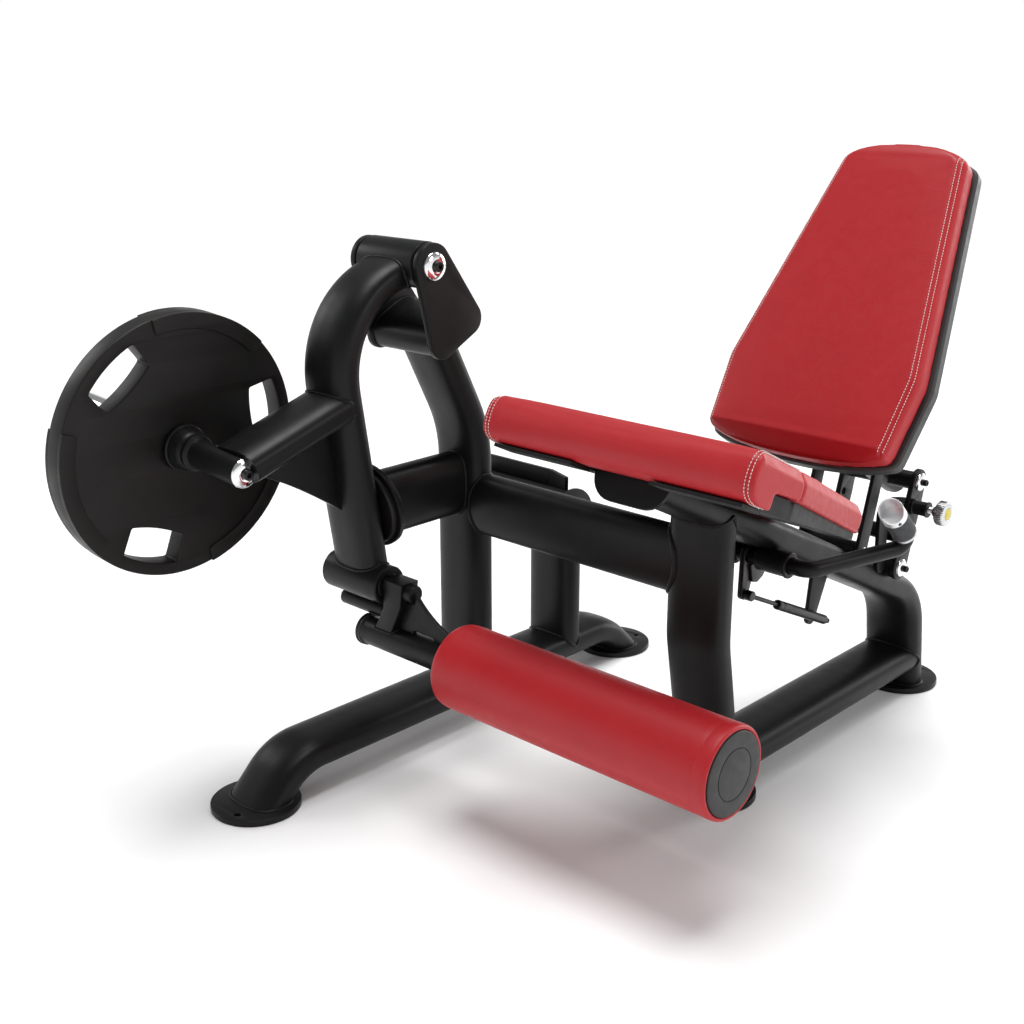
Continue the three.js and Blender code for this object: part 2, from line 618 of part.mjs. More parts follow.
function popPin() {
  const { lowY, lowZ } = LINK;
  const { x, y, z } = KNOB;
  const band = hull([y + 6, z - 4, 16], [y - 32, z + 4, 16], [y - 70, z - 5, 16]);
  const leg = hull([y - 70, z - 5, 16], [lowY - 42, lowZ + 10, 14]);
  const step = rad(INDEX.step);
  const holes = [];
  for (let i = 0; i < INDEX.holes; i++) {
    const c = Math.cos(i * step);
    const s = Math.sin(i * step);
    const [dy, dz] = [y - lowY, z - lowZ];
    holes.push(crossBar(5, lowY + dy * c - dz * s, lowZ + dy * s + dz * c, 40, 70));
  }
  const plate = join(slab(band, 52, 60, 5), slab(leg, 52, 60, 5));
  place("index_plate", cut(plate, ...holes, railTube(GAP), crossBar(LINK.tube + GAP, lowY, lowZ, 40, 70)), blackPaint);
  place("pin_housing", turned([[6.3, x - 6 + GAP], [15, x - 6 + GAP], [15, x + 28], [6.3, x + 28],
    [6.3, x - 6 + GAP]], y, z, 20), blackPaint);
  place("pop_pin", turned([[0, 60.6], [4.5, 60.6], [6, 66], [6, x + 36], [10, x + 38], [10, x + 44], [18, x + 48],
    [18, x + 62], [14, x + 66], [0, x + 66]], y, z, 24), chrome);
}

// ---- handles and damper ----------------------------------------------------------------------------

// One bent tube: the shaft in the two housings, with an arm out and back at each end and a grip's core.
const GRIP_FOOT = [196, 858, 437];
const GRIP_LEAN = [0, -0.735, 0.678]; // along the grip, upwards
const gripPoint = (distance) => GRIP_FOOT.map((value, i) => value + GRIP_LEAN[i] * distance);

function handles() {
  const shaftY = HANDLE.y;
  const shaftZ = HANDLE.z;
  const half = [[118, shaftY, shaftZ, 26], [...GRIP_FOOT, 19], gripPoint(118)];
  const mirrored = half.map(([x, ...rest]) => [-x, ...rest]).reverse();
  const line = new BentLine([...mirrored, ...half], 15);
  place("handle_tube", sweep(circle(HANDLE.tube), line, 6), blackPaint);
  const bore = crossBar(HANDLE.tube + 1, shaftY, shaftZ, -120, 120);
  const { radius, near, far } = HANDLE.housing;
  for (const [name, from, to] of [["handle_housing_left", near, far], ["handle_housing_right", -far, -near]])
    place(name, cut(crossBar(radius, shaftY, shaftZ, from, to), bore), blackPaint);
  const lean = new THREE.Quaternion().setFromUnitVectors(
    new THREE.Vector3(1, 0, 0), new THREE.Vector3(...GRIP_LEAN));
  for (const [name, side] of [["handle_grip_left", 1], ["handle_grip_right", -1]]) {
    const [inner, outer] = [HANDLE.tube + GAP, HANDLE.tube + 7];
    const sleeve = turned([[inner, 42], [outer, 42], [outer, 122], [0, 122], [0, 118.4], [inner, 118.4], [inner, 42]]);
    const [x, y, z] = GRIP_FOOT;
    place(name, sleeve.applyQuaternion(lean).translate(side * x, y, z), gripRubber);
  }
}

function damper() {
  const { leverY, leverZ, endY, endZ, x } = DAMPER;
  const lever = hull([HANDLE.y, HANDLE.z, 21], [leverY, leverZ, 10]);
  const shaft = crossBar(HANDLE.tube + GAP, HANDLE.y, HANDLE.z, -30, 30);
  const stud = crossBar(4, leverY, leverZ, 0, x - 8 - 1);
  place("damper_lever", join(cut(slab(lever, -5, 5), shaft), stud), blackSteel);
  const fall = Math.atan2(endZ - leverZ, endY - leverY);
  const length = Math.hypot(endY - leverY, endZ - leverZ);
  const alongDamper = (geometry) =>
    geometry.rotateZ(Math.PI / 2).rotateX(fall).translate(x, leverY, leverZ);
  const [mouth, tail] = [DAMPER.mouth, length + 44];
  const barrel = [[4.6, mouth], [9, mouth], [9, tail], [0, tail], [0, tail - 8], [4.6, tail - 8], [4.6, mouth]];
  const trunnion = crossBar(5, endY, endZ, 5, x - 6);
  place("damper_cylinder", join(alongDamper(turned(barrel, 0, 0, 14)), trunnion), blackSteel);
  const rod = [[0, 0], [4, 0], [4, mouth + 110], [0, mouth + 110]];
  const eye = crossBar(9, leverY, leverZ, x - 8, x + 6);
  place("damper_rod", join(alongDamper(turned(rod, 0, 0, 12)), eye), blackSteel);
  const tab = polygon([onRail(36, -29), onRail(70, -29), [endY + 12, endZ - 4], [endY - 4, endZ - 14],
    [endY - 14, endZ - 2]]);
  const pin = crossBar(5.5, endY, endZ, -20, 20);
  place("damper_tab", cut(slab(tab, -4, 4), railTube(GAP), pin), blackPaint);
}

baseAndUprights();
storage();
clevis();
stop();
swingArm();
horn();
weightPlate();
carriage();
roller();
seat();
backrest();
rearLinks();
frontArms();
popPin();
handles();
damper();

const part = new THREE.Group();
part.name = "leg_extension_machine";
part.add(machine);
part.updateMatrixWorld(true);
const extent = new THREE.Box3().setFromObject(machine, true);
const middle = extent.getCenter(new THREE.Vector3());
machine.position.set(-middle.x, -middle.y, -extent.min.z);

export default part;
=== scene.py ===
import math

import bmesh
import bpy
import numpy as np
from mathutils import Matrix, Vector, noise
from mathutils.bvhtree import BVHTree
from mathutils.kdtree import KDTree

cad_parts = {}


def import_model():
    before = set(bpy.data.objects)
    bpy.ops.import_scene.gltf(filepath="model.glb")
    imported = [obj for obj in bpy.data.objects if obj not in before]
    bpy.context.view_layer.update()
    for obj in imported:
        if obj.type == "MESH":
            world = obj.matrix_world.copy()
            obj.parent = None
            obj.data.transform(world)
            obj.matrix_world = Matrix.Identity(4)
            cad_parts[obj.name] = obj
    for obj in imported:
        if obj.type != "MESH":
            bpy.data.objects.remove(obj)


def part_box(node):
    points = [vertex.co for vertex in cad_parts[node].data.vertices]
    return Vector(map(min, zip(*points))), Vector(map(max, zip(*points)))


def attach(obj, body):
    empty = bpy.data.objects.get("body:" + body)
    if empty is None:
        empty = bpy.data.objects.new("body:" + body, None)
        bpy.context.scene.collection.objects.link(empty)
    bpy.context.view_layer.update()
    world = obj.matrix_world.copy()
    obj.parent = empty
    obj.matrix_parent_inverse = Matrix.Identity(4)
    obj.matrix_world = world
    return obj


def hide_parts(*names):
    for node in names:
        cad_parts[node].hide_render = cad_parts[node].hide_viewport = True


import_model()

# Lengths are in millimetres in the machine's own frame, as in the CAD model: X = 0 on the seat's centre
# plane, Y = 0 over the left front foot, Z = 0 on the floor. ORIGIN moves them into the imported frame, and
# FOOT_SETBACK is how far the right front foot stands behind the left one.
SCENE = bpy.context.scene
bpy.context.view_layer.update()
foot_low, foot_high = (np.array(corner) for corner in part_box("right_front_foot"))
FOOT_SETBACK = 0.576
ORIGIN = np.array([(foot_low[0] + foot_high[0]) / 2, (foot_low[1] + foot_high[1]) / 2 - FOOT_SETBACK, 0.0])
MM = 0.001
rad = math.radians

SEAT_SLOPE, RAIL_SLOPE, BACK_SLOPE, ARM_LEAN, HORN_DROP = 25, 25.8, 55.3, 9.3, 4.4
HUB, CROSS, ROLLER = (360, 900), (253, 355), (252, 258)
HANDLE, LEVER_END, DAMPER_TAIL = (655, 424), (642, 356), (868, 250)
LINK_LOW, LINK_HIGH, PIN = (1053, 314), (1101, 473), (1078, 430)
FRONT_LOW, FRONT_HIGH = (927, 373), (975, 532)


def world(points):
    return np.asarray(points, float) * MM + ORIGIN


# ---- materials -------------------------------------------------------------------------------------------


class Nodes:
    """Short hand for building a material's node tree."""

    def __init__(self, name):
        self.material = bpy.data.materials.new(name)
        self.material.use_nodes = True
        self.tree = self.material.node_tree
        self.shader = self.tree.nodes["Principled BSDF"]
        self.coords = self.tree.nodes.new("ShaderNodeTexCoord").outputs["Object"]

    def link(self, source, target):
        self.tree.links.new(source, target)

    def noise(self, scale, detail=3.0, roughness=0.5, coords=None):
        node = self.tree.nodes.new("ShaderNodeTexNoise")
        node.inputs["Scale"].default_value = scale
        node.inputs["Detail"].default_value = detail
        node.inputs["Roughness"].default_value = roughness
        self.link(coords or self.coords, node.inputs["Vector"])
        return node.outputs["Fac"]

    def cells(self, scale, feature="F1", coords=None):
        node = self.tree.nodes.new("ShaderNodeTexVoronoi")
        node.feature = feature
        node.inputs["Scale"].default_value = scale
        self.link(coords or self.coords, node.inputs["Vector"])
        return node.outputs["Distance"]

    def ramp(self, source, low, high, start=0.3, end=0.7):
        """Source values from start to end become a colour or number from low to high."""
        node = self.tree.nodes.new("ShaderNodeMapRange")
        node.inputs["From Min"].default_value = start
        node.inputs["From Max"].default_value = end
        node.inputs["To Min"].default_value = low
        node.inputs["To Max"].default_value = high
        self.link(source, node.inputs["Value"])
        return node.outputs["Result"]

    def mix(self, factor, first, second):
        node = self.tree.nodes.new("ShaderNodeMix")
        node.data_type = "RGBA"
        node.inputs["A"].default_value = (*first, 1)
        node.inputs["B"].default_value = (*second, 1)
        self.link(factor, node.inputs["Factor"])
        return node.outputs["Result"]

    def add(self, first, second, share):
        node = self.tree.nodes.new("ShaderNodeMath")
        node.operation = "MULTIPLY_ADD"
        self.link(second, node.inputs[0])
        node.inputs[1].default_value = share
        self.link(first, node.inputs[2])
        return node.outputs["Value"]

    def bump(self, height, strength, distance):
        node = self.tree.nodes.new("ShaderNodeBump")
        node.inputs["Strength"].default_value = strength
        node.inputs["Distance"].default_value = distance
        self.link(height, node.inputs["Height"])
        self.link(node.outputs["Normal"], self.shader.inputs["Normal"])

    def set(self, **values):
        for key, value in values.items():
            self.shader.inputs[key.replace("_", " ")].default_value = value
        return self


def surface(name, dark, light, patch, rough, rough_scale, grain, grain_depth, **settings):
    """A finish with mottled colour and gloss, and fine grain in its relief."""
    made = Nodes(name)
    made.link(made.mix(made.ramp(made.noise(patch), 0, 1), dark, light), made.shader.inputs["Base Color"])
    made.link(made.ramp(made.noise(rough_scale, 4), *rough), made.shader.inputs["Roughness"])
    made.bump(made.noise(grain, 2), 0.35, grain_depth)
    return made.set(**settings).material


def vinyl():
    made = Nodes("red_vinyl")
    colour = made.mix(made.ramp(made.noise(14), 0, 1), (0.415, 0.0115, 0.0170), (0.435, 0.0135, 0.0190))
    made.link(colour, made.shader.inputs["Base Color"])
    made.link(made.ramp(made.noise(60, 4), 0.40, 0.50), made.shader.inputs["Roughness"])
    pebbles = made.cells(620)
    creases = made.noise(240, 5, 0.6)
    made.bump(made.add(pebbles, creases, 0.8), 0.35, 0.00035)
    return made.set(Specular_IOR_Level=0.36, Coat_Weight=0.0).material


def knurl(name, dark, light, rough, metallic, pitch, depth):
    """Fine raised cells, as on a textured grip."""
    made = Nodes(name)
    made.link(made.mix(made.ramp(made.noise(90), 0, 1), dark, light), made.shader.inputs["Base Color"])
    made.link(made.ramp(made.noise(200, 3), *rough), made.shader.inputs["Roughness"])
    ridges = made.add(made.cells(pitch), made.noise(pitch * 1.7, 2), 0.5)
    made.bump(ridges, 0.6, depth)
    return made.set(Metallic=metallic).material


PAINT = surface("black_paint", (0.0045, 0.0047, 0.0048), (0.0062, 0.0064, 0.0065), 6, (0.35, 0.43), 40,
                900, 0.00016, Specular_IOR_Level=0.21)
RUBBER = surface("black_rubber", (0.0048, 0.0041, 0.0039), (0.0072, 0.0062, 0.0058), 9, (0.40, 0.52), 30,
                 1100, 0.00012, Specular_IOR_Level=0.28)
PLASTIC = surface("black_plastic", (0.012, 0.0123, 0.0127), (0.016, 0.0163, 0.0167), 12, (0.42, 0.54), 60,
                  1400, 0.00015, Specular_IOR_Level=0.42)
STEEL = surface("black_steel", (0.005, 0.005, 0.0053), (0.008, 0.008, 0.0083), 20, (0.26, 0.36), 80, 1500,
                0.00006, Specular_IOR_Level=0.40)
CHROME = surface("chrome", (0.80, 0.81, 0.82), (0.86, 0.87, 0.88), 15, (0.06, 0.13), 60, 300, 0.00001,
                 Metallic=1.0)
SATIN = surface("satin_metal", (0.52, 0.53, 0.54), (0.62, 0.63, 0.64), 25, (0.24, 0.34), 90, 900, 0.00003,
                Metallic=1.0)
THREAD = surface("thread", (0.70, 0.66, 0.64), (0.86, 0.83, 0.81), 300, (0.6, 0.75), 500, 3500, 0.0002)
YELLOW = surface("yellow_plastic", (0.62, 0.50, 0.02), (0.72, 0.60, 0.04), 80, (0.35, 0.45), 120, 1500,
                 0.00004)
VINYL = vinyl()
GRIP = knurl("grip_rubber", (0.030, 0.031, 0.033), (0.050, 0.052, 0.055), (0.65, 0.8), 0.0, 900, 0.0006)
WHITE_FLOOR = surface("floor", (0.93, 0.93, 0.93), (0.94, 0.94, 0.94), 0.4, (0.7, 0.75), 3, 400, 0.000001,
                      Specular_IOR_Level=0.1)

TRAY = surface("tray_plastic", (0.0065, 0.0068, 0.0071), (0.0090, 0.0093, 0.0096), 12, (0.44, 0.56), 60,
               1400, 0.00015, Specular_IOR_Level=0.30)
SHELL = surface("shell_plastic", (0.030, 0.031, 0.032), (0.038, 0.039, 0.040), 12, (0.42, 0.54), 60, 1400,
                0.00015, Specular_IOR_Level=0.5)
COLLAR = surface("grip_collar", (0.78, 0.79, 0.80), (0.84, 0.85, 0.86), 25, (0.36, 0.44), 90, 900,
                 0.00002, Metallic=0.9)

# ---- mesh building ---------------------------------------------------------------------------------------


def piece(mesh, name, body, material, stands_for=(), sharp=38, bevel=0.0):
    obj = bpy.data.objects.new(name, mesh)
    SCENE.collection.objects.link(obj)
    mesh.materials.clear()
    mesh.materials.append(material)
    mesh.polygons.foreach_set("use_smooth", [True] * len(mesh.polygons))
    mesh.set_sharp_from_angle(angle=rad(sharp))
    if bevel:
        edge = obj.modifiers.new("edge", "BEVEL")
        edge.width = bevel * MM
        edge.segments = 3
        edge.limit_method = "ANGLE"
        edge.angle_limit = rad(40)
    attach(obj, body)
    if stands_for:
        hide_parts(*([stands_for] if isinstance(stands_for, str) else stands_for))
    return obj


def mesh_of(points, faces, name="mesh"):
    mesh = bpy.data.meshes.new(name)
    mesh.from_pydata([tuple(p) for p in world(points)], [], [tuple(f) for f in faces])
    mesh.update()
    return mesh


def skin(rings, capped=True, looped=False):
    """Faces between rings of points, shape (rings, points, 3), with the two ends closed."""
    count, around = rings.shape[:2]
    faces = []
    for i in range(count if looped else count - 1):
        a, b = i * around, (i + 1) % count * around
        faces += [(a + j, a + (j + 1) % around, b + (j + 1) % around, b + j) for j in range(around)]
    if capped and not looped:
        faces += [tuple(range(around))[::-1], tuple(range((count - 1) * around, count * around))]
    return rings.reshape(-1, 3), faces


def bends(corners, step=4.0):
    """Points and directions along straight runs joined by arcs; each corner is (x, y, z, radius)."""
    corners = [(*np.array(c[:3], float), c[3] if len(c) > 3 else 0) for c in corners]
    at = [np.array(c[:3]) for c in corners]
    unit = lambda v: v / np.linalg.norm(v)
    points, ways = [at[0]], [unit(at[1] - at[0])]
    for before, here, after, corner in zip(at, at[1:], at[2:], corners[1:]):
        back, ahead, radius = unit(before - here), unit(after - here), max(corner[3], 0.01)
        half = math.acos(np.clip(back @ ahead, -1, 1)) / 2
        if half > rad(89.9):
            continue
        centre = here + unit(back + ahead) * radius / math.sin(half)
        out = (here + back * radius / math.tan(half) - centre) / radius
        turn = math.pi - 2 * half
        for k in range(n := max(2, round(turn / rad(step))), -1, -1):
            angle = turn * (n - k) / n
            points.append(centre + radius * (out * math.cos(angle) - back * math.sin(angle)))
            ways.append(-out * math.sin(angle) - back * math.cos(angle))
    points.append(at[-1])
    ways.append(unit(at[-1] - at[-2]))
    return np.array(points), np.array(ways)


def even(loop, count, soft):
    """A closed outline resampled evenly and rounded over about the given length."""
    path = np.array(loop + loop[:1], float)
    length = np.concatenate([[0], np.cumsum(np.linalg.norm(np.diff(path, axis=0), axis=1))])
    s = np.linspace(0, length[-1], count * 4, endpoint=False)
    out = np.stack([np.interp(s, length, path[:, k]) for k in range(2)], 1)
    for _ in range(int((soft / (length[-1] / (count * 4))) ** 2 / 12)):
        out = (np.roll(out, 1, 0) + 2 * out + np.roll(out, -1, 0)) / 4
    return out[::4]


def oval(wide, thick, around=96, power=2.75):
    """An oval with full corners and slightly crowned sides."""
    a = np.linspace(0, 2 * math.pi, around, endpoint=False)
    c, s = np.cos(a), np.sin(a)
    reach = (np.abs(c) ** power + np.abs(s) ** power) ** (-1 / power)
    loop = np.stack([wide / 2 * reach * c, thick / 2 * reach * s], 1)
    return even([tuple(p) for p in loop], around, 0)


def round_section(radius, around=48):
    angles = np.linspace(0, 2 * math.pi, around, endpoint=False)
    return np.stack([radius * np.cos(angles), radius * np.sin(angles)], 1)


def sweep(corners, section, first=(1, 0, 0), step=4.0):
    """Rings of the section along a bent line. Its first axis starts along the given direction."""
    points, ways = bends(corners, step)
    u = np.array(first, float)
    rings = []
    for p, t in zip(points, ways):
        u = u - t * (u @ t)
        u /= np.linalg.norm(u)
        v = np.cross(t, u)
        rings.append(p + section[:, :1] * u + section[:, 1:] * v)
    return np.array(rings)


def side(x, corners):
    """Corners given in a side view as (y, z, radius)."""
    return [(x, c[0], c[1], c[2] if len(c) > 2 else 0) for c in corners]


def cut_below(points, faces, z):
    """The mesh above a height, with the cut closed, and the loop of the cut."""
    bm = bmesh.new()
    verts = [bm.verts.new(p) for p in points]
    for f in faces:
        bm.faces.new([verts[i] for i in f])
    geometry = bm.verts[:] + bm.edges[:] + bm.faces[:]
    cut = bmesh.ops.bisect_plane(bm, geom=geometry, dist=1e-4, plane_co=(0, 0, z), plane_no=(0, 0, 1),
                                 clear_inner=True)
    rim = [e for e in cut["geom_cut"] if isinstance(e, bmesh.types.BMEdge)]
    loops, left = [], dict.fromkeys(rim)
    while left:
        first = next(iter(left))
        del left[first]
        loop = [first.verts[0], first.verts[1]]
        while found := next((e for e in loop[-1].link_edges if e in left), None):
            del left[found]
            loop.append(found.other_vert(loop[-1]))
        loops.append(np.array([v.co[:] for v in loop[:-1]]))
    bmesh.ops.holes_fill(bm, edges=rim, sides=0)
    bm.verts.index_update()
    out = np.array([v.co[:] for v in bm.verts]), [[v.index for v in f.verts] for f in bm.faces]
    bm.free()
    return (*out, loops)


def bead(name, path, body, radius=3.2, material=None):
    """A weld bead: a lumpy round cord along a closed loop."""
    path = np.array(path)
    length = np.linalg.norm(np.roll(path, -1, 0) - path, axis=1)
    total, stops = length.sum(), np.concatenate([[0], np.cumsum(length)])
    closed = np.vstack([path, path[:1]])
    count = max(24, int(total / 2.2))
    s = np.linspace(0, total, count, endpoint=False)
    smooth = np.stack([np.interp(s, stops, closed[:, k]) for k in range(3)], 1)
    for _ in range(2):
        smooth = (np.roll(smooth, 1, 0) + 2 * smooth + np.roll(smooth, -1, 0)) / 4
    ways = np.roll(smooth, -1, 0) - np.roll(smooth, 1, 0)
    ways /= np.linalg.norm(ways, axis=1, keepdims=True) + 1e-9
    middle = smooth.mean(0)
    rings = []
    section = round_section(1, 10)
    for i, (p, t) in enumerate(zip(smooth, ways)):
        out = p - middle
        out -= t * (out @ t)
        out /= np.linalg.norm(out) + 1e-9
        r = radius * (1 + 0.07 * math.sin(i * 2.0) + 0.05 * math.sin(i * 0.31))
        rings.append(p + r * (section[:, :1] * out + section[:, 1:] * np.cross(t, out)))
    return piece(mesh_of(*skin(np.array(rings), looped=True)), name, body, material or PAINT, sharp=80)


def crossing(rings, tree, from_end):
    """Where each long line of a swept tube first meets another solid, searched towards one end."""
    order = rings if not from_end else rings[::-1]
    path = []
    for j in range(rings.shape[1]):
        line = order[::-1, j]
        for a, b in zip(line, line[1:]):
            gap = b - a
            reach = float(np.linalg.norm(gap))
            if reach < 1e-6:
                continue
            hit = tree.ray_cast(Vector(a), Vector(gap / reach), reach)
            if hit[0] is not None:
                path.append(hit[0][:])
                break
    return np.array(path)


TREES = {}
RINGS = {}


def tube(name, corners, section, body, stands_for, floor_cut=False, material=None, **kw):
    """A swept tube; it can be cut off on top of its foot disc, with a bead round the cut."""
    rings = sweep(corners, section, **kw)
    points, faces = skin(rings)
    RINGS[name] = rings
    if floor_cut:
        points, faces, loops = cut_below(points, faces, 10.8)
        for k, path in enumerate(loops):
            bead(f"{name}_foot_weld_{k}", path, body)
    TREES[name] = BVHTree.FromPolygons([tuple(p) for p in points], faces)
    return piece(mesh_of(points, faces), name, body, material or PAINT, stands_for)


def weld(a, b, body, from_end, radius=3.2):
    path = crossing(RINGS[a], TREES[b], from_end)
    if len(path) > 12:
        bead(f"weld_{a}_{b}", path, body, radius)


def rounded(points, radius):
    """A profile with its inner corners rounded; radius is one number or one for each corner."""
    radii = [radius] * len(points) if np.isscalar(radius) else radius
    line = [(p[0], p[1], 0, r) for p, r in zip(points, radii)]
    return bends(line, 15)[0][:, :2]


def lathe(profile, base, axis=(1, 0, 0), around=56):
    """Rings of a turned piece: profile rows are (radius, distance along the axis)."""
    axis = np.array(axis, float) / np.linalg.norm(axis)
    u = np.cross(axis, (0, 0, 1) if abs(axis[2]) < 0.9 else (0, 1, 0))
    u /= np.linalg.norm(u)
    v = np.cross(axis, u)
    angles = np.linspace(0, 2 * math.pi, around, endpoint=False)
    circle = np.cos(angles)[:, None] * u + np.sin(angles)[:, None] * v
    return np.array([np.array(base) + axis * a + max(r, 0.02) * circle for r, a in profile])


def turned(name, profile, base, body, material, stands_for=(), axis=(1, 0, 0), soft=0.8, around=56,
           closed=False):
    """A turned piece. A closed profile is a ring's section, with a hole along the axis."""
    profile = np.array(profile, float)
    rows = rounded(profile, soft) if soft else profile
    rings = lathe(rows, base, axis, around)
    RINGS[name] = rings
    points, faces = skin(rings, looped=closed)
    bm = bmesh.new()
    verts = [bm.verts.new(p) for p in points]
    for f in faces:
        bm.faces.new([verts[i] for i in f])
    bmesh.ops.recalc_face_normals(bm, faces=bm.faces[:])
    bm.verts.index_update()
    faces = [[v.index for v in f.verts] for f in bm.faces]
    bm.free()
    TREES[name] = BVHTree.FromPolygons([tuple(p) for p in points], faces)
    return piece(mesh_of(points, faces), name, body, material, stands_for)


def arc(x, y, r, start, end, steps):
    angles = np.radians(np.linspace(start, end, steps + 1))
    return [(x + r * math.cos(a), y + r * math.sin(a)) for a in angles]


def hull(*circles):
    """The outline around a row of circles (x, y, radius), taken anticlockwise."""
    loop = []
    for i, (x, y, r) in enumerate(circles):
        px, py, pr = circles[i - 1]
        nx, ny, nr = circles[(i + 1) % len(circles)]
        turn = lambda ax, ay, ar, bx, by, br: math.degrees(
            math.atan2(by - ay, bx - ax) - math.acos((ar - br) / math.hypot(bx - ax, by - ay)))
        start, end = turn(px, py, pr, x, y, r), turn(x, y, r, nx, ny, nr)
        end += 360 if end < start else 0
        loop += arc(x, y, r, start, end, 24)
    return loop


SIDE_VIEW = Matrix(((0, 0, 1, 0), (1, 0, 0, 0), (0, 1, 0, 0), (0, 0, 0, 1)))


def plate(name, loops, low, high, body, material, stands_for=(), bevel=1.2, place=SIDE_VIEW):
    """A flat plate with rounded edges. Its first loop is its outline and the others are holes."""
    curve = bpy.data.curves.new(name, "CURVE")
    curve.dimensions, curve.fill_mode = "2D", "BOTH"
    curve.extrude = (high - low) / 2 - bevel
    curve.bevel_depth, curve.bevel_resolution, curve.offset = bevel, 2, -bevel
    for loop in loops:
        spline = curve.splines.new("POLY")
        spline.points.add(len(loop) - 1)
        spline.points.foreach_set("co", [c for x, y in loop for c in (x, y, 0, 1)])
        spline.use_cyclic_u = True
    shape = bpy.data.objects.new(name, curve)
    SCENE.collection.objects.link(shape)
    bpy.context.view_layer.update()
    mesh = bpy.data.meshes.new_from_object(shape.evaluated_get(bpy.context.evaluated_depsgraph_get()))
    bpy.data.objects.remove(shape)
    lift = Matrix.Translation((0, 0, (low + high) / 2))
    bring = Matrix.Translation(Vector(ORIGIN)) @ Matrix.Scale(MM, 4)
    bm = bmesh.new()
    bm.from_mesh(mesh)
    bmesh.ops.remove_doubles(bm, verts=bm.verts[:], dist=0.005)
    bm.transform(bring @ place @ lift)
    bmesh.ops.recalc_face_normals(bm, faces=bm.faces[:])
    bm.to_mesh(mesh)
    bm.free()
    return piece(mesh, name, body, material, stands_for, sharp=50)


def ring_of(x, y, r, steps=32):
    return arc(x, y, r, 0, 360, steps)[:-1]


def upright(x, y, low):
    """Places a plate that lies flat, with its under side at a height."""
    return Matrix.Translation((x, y, low))


def along(start, degrees, distance, off=0.0):
    c, s = math.cos(rad(degrees)), math.sin(rad(degrees))
    return start[0] + distance * c - off * s, start[1] + distance * s + off * c


SEAT_START, BACK_START = (296, 728), (835.6, 729)
SEAT_UP = np.array([0, math.sin(rad(SEAT_SLOPE)), math.cos(rad(SEAT_SLOPE))])
BACK_UP = np.array([0, math.cos(rad(BACK_SLOPE)), math.sin(rad(BACK_SLOPE))])
BACK_IN = np.array([0, math.sin(rad(BACK_SLOPE)), -math.cos(rad(BACK_SLOPE))])


def on_rail(distance, off=0.0):
    return along((850, 377), -RAIL_SLOPE, distance, off)


def on_seat(distance, off=0.0):
    return along(SEAT_START, -SEAT_SLOPE, distance, off)


def on_back(distance, behind=0.0):
    return along(BACK_START, BACK_SLOPE, distance, -behind)


def dome_bolt(name, base, body, stands_for=(), axis=(1, 0, 0), washer=24.5, head=9.0):
    """A socket-head bolt on a polished domed washer, facing along the axis."""
    rise = washer * 0.30
    dome = [(washer - 0.6, 0.0), (washer, 0.7), (washer - 0.4, 1.8)]
    dome += [(washer * math.cos(t), 1.8 + rise * math.sin(t)) for t in np.radians(np.linspace(14, 58, 9))]
    dome += [(washer * 0.46, 0.7 + rise), (washer * 0.42, 0.5 + rise), (0.0, 0.5 + rise)]
    turned(name + "_washer", [(0.0, 0.0)] + dome, base, body, CHROME, stands_for, axis, soft=0)
    r, low = washer * 0.36, rise - 1.0
    top = low + head
    bolt = [(0, low), (r, low), (r, top - 1), (r - 1, top), (r * 0.56, top), (r * 0.50, top - 1)]
    bolt += [(r * 0.50, top - head * 0.7), (0, top - head * 0.7)]
    turned(name + "_bolt", bolt, base, body, STEEL, (), axis, soft=0.3, around=36)


# ---- base and uprights -----------------------------------------------------------------------------------

ARM_X, SWING_X = -548, -545
OVAL = oval(116, 58)
FEET = {
    "left_front": (ARM_X, 0, -1), "left_rear": (ARM_X, 971, 1),
    "right_front": (0, 576, -1), "right_rear": (0, 1237, 1),
}


def base():
    for name, (x, y, way) in FEET.items():
        loops = [ring_of(0, 0, 78, 96), ring_of(21, way * 54, 5.5, 24)]
        plate(name + "_foot_disc", loops, 0, 11, "frame", PAINT, name + "_foot", 1.6, upright(x, y, 0))
    line = [(-18, -18), (70, 70, 110), (901, 70, 110), (989, -18)]
    tube("base_left", side(ARM_X, line), OVAL, "frame", "left_base_tube", floor_cut=True)
    tube("column_tube", side(ARM_X, [(516, 70), (516, 577, 250), (411, 782)]), OVAL, "frame", "column")
    post = side(0, [(516, 540), (516, 310, 160), (576, -20)])
    tube("post_tube", post, OVAL, "frame", "front_post", floor_cut=True)
    rail = side(0, [on_rail(-571.7), (1188, 214, 125), (1224, -20)])
    tube("rail_tube", rail, OVAL, "frame", "seat_rail", floor_cut=True)
    tube("base_right", side(0, [(562, 70), (1210, 70)]), OVAL, "frame", "right_base_tube")
    cross = oval(116, 58)
    lateral = [(ARM_X, 516, 440), (-12, 516, 440)]
    tube("lateral", lateral, oval(116, 52), "frame", "lateral_tube", first=(0, 0, 1))
    tube("storage_tube", side(ARM_X, [(775, 70), (775, 350)]), OVAL, "frame", "storage_post")
    peg = [(0, -790), (46, -790), (50, -786), (50, -508), (60, -508), (60, -500), (0, -500)]
    turned("storage_peg", peg, (0, 775, 350), "frame", PAINT, soft=1.5)
    tilt = rad(26.6)
    way = (0, math.cos(tilt), math.sin(tilt))
    tube("clevis_cross", [(-615.7, 411, 782), (-470.3, 411, 782)], cross, "frame", "clevis_tube", first=way)
    weld("column_tube", "base_left", "frame", False)
    weld("column_tube", "clevis_cross", "frame", True)
    weld("post_tube", "rail_tube", "frame", True)
    weld("base_right", "post_tube", "frame", False)
    weld("base_right", "rail_tube", "frame", True)
    weld("lateral", "column_tube", "frame", False)
    weld("lateral", "post_tube", "frame", True, 4.5)
    weld("storage_tube", "base_left", "frame", False)


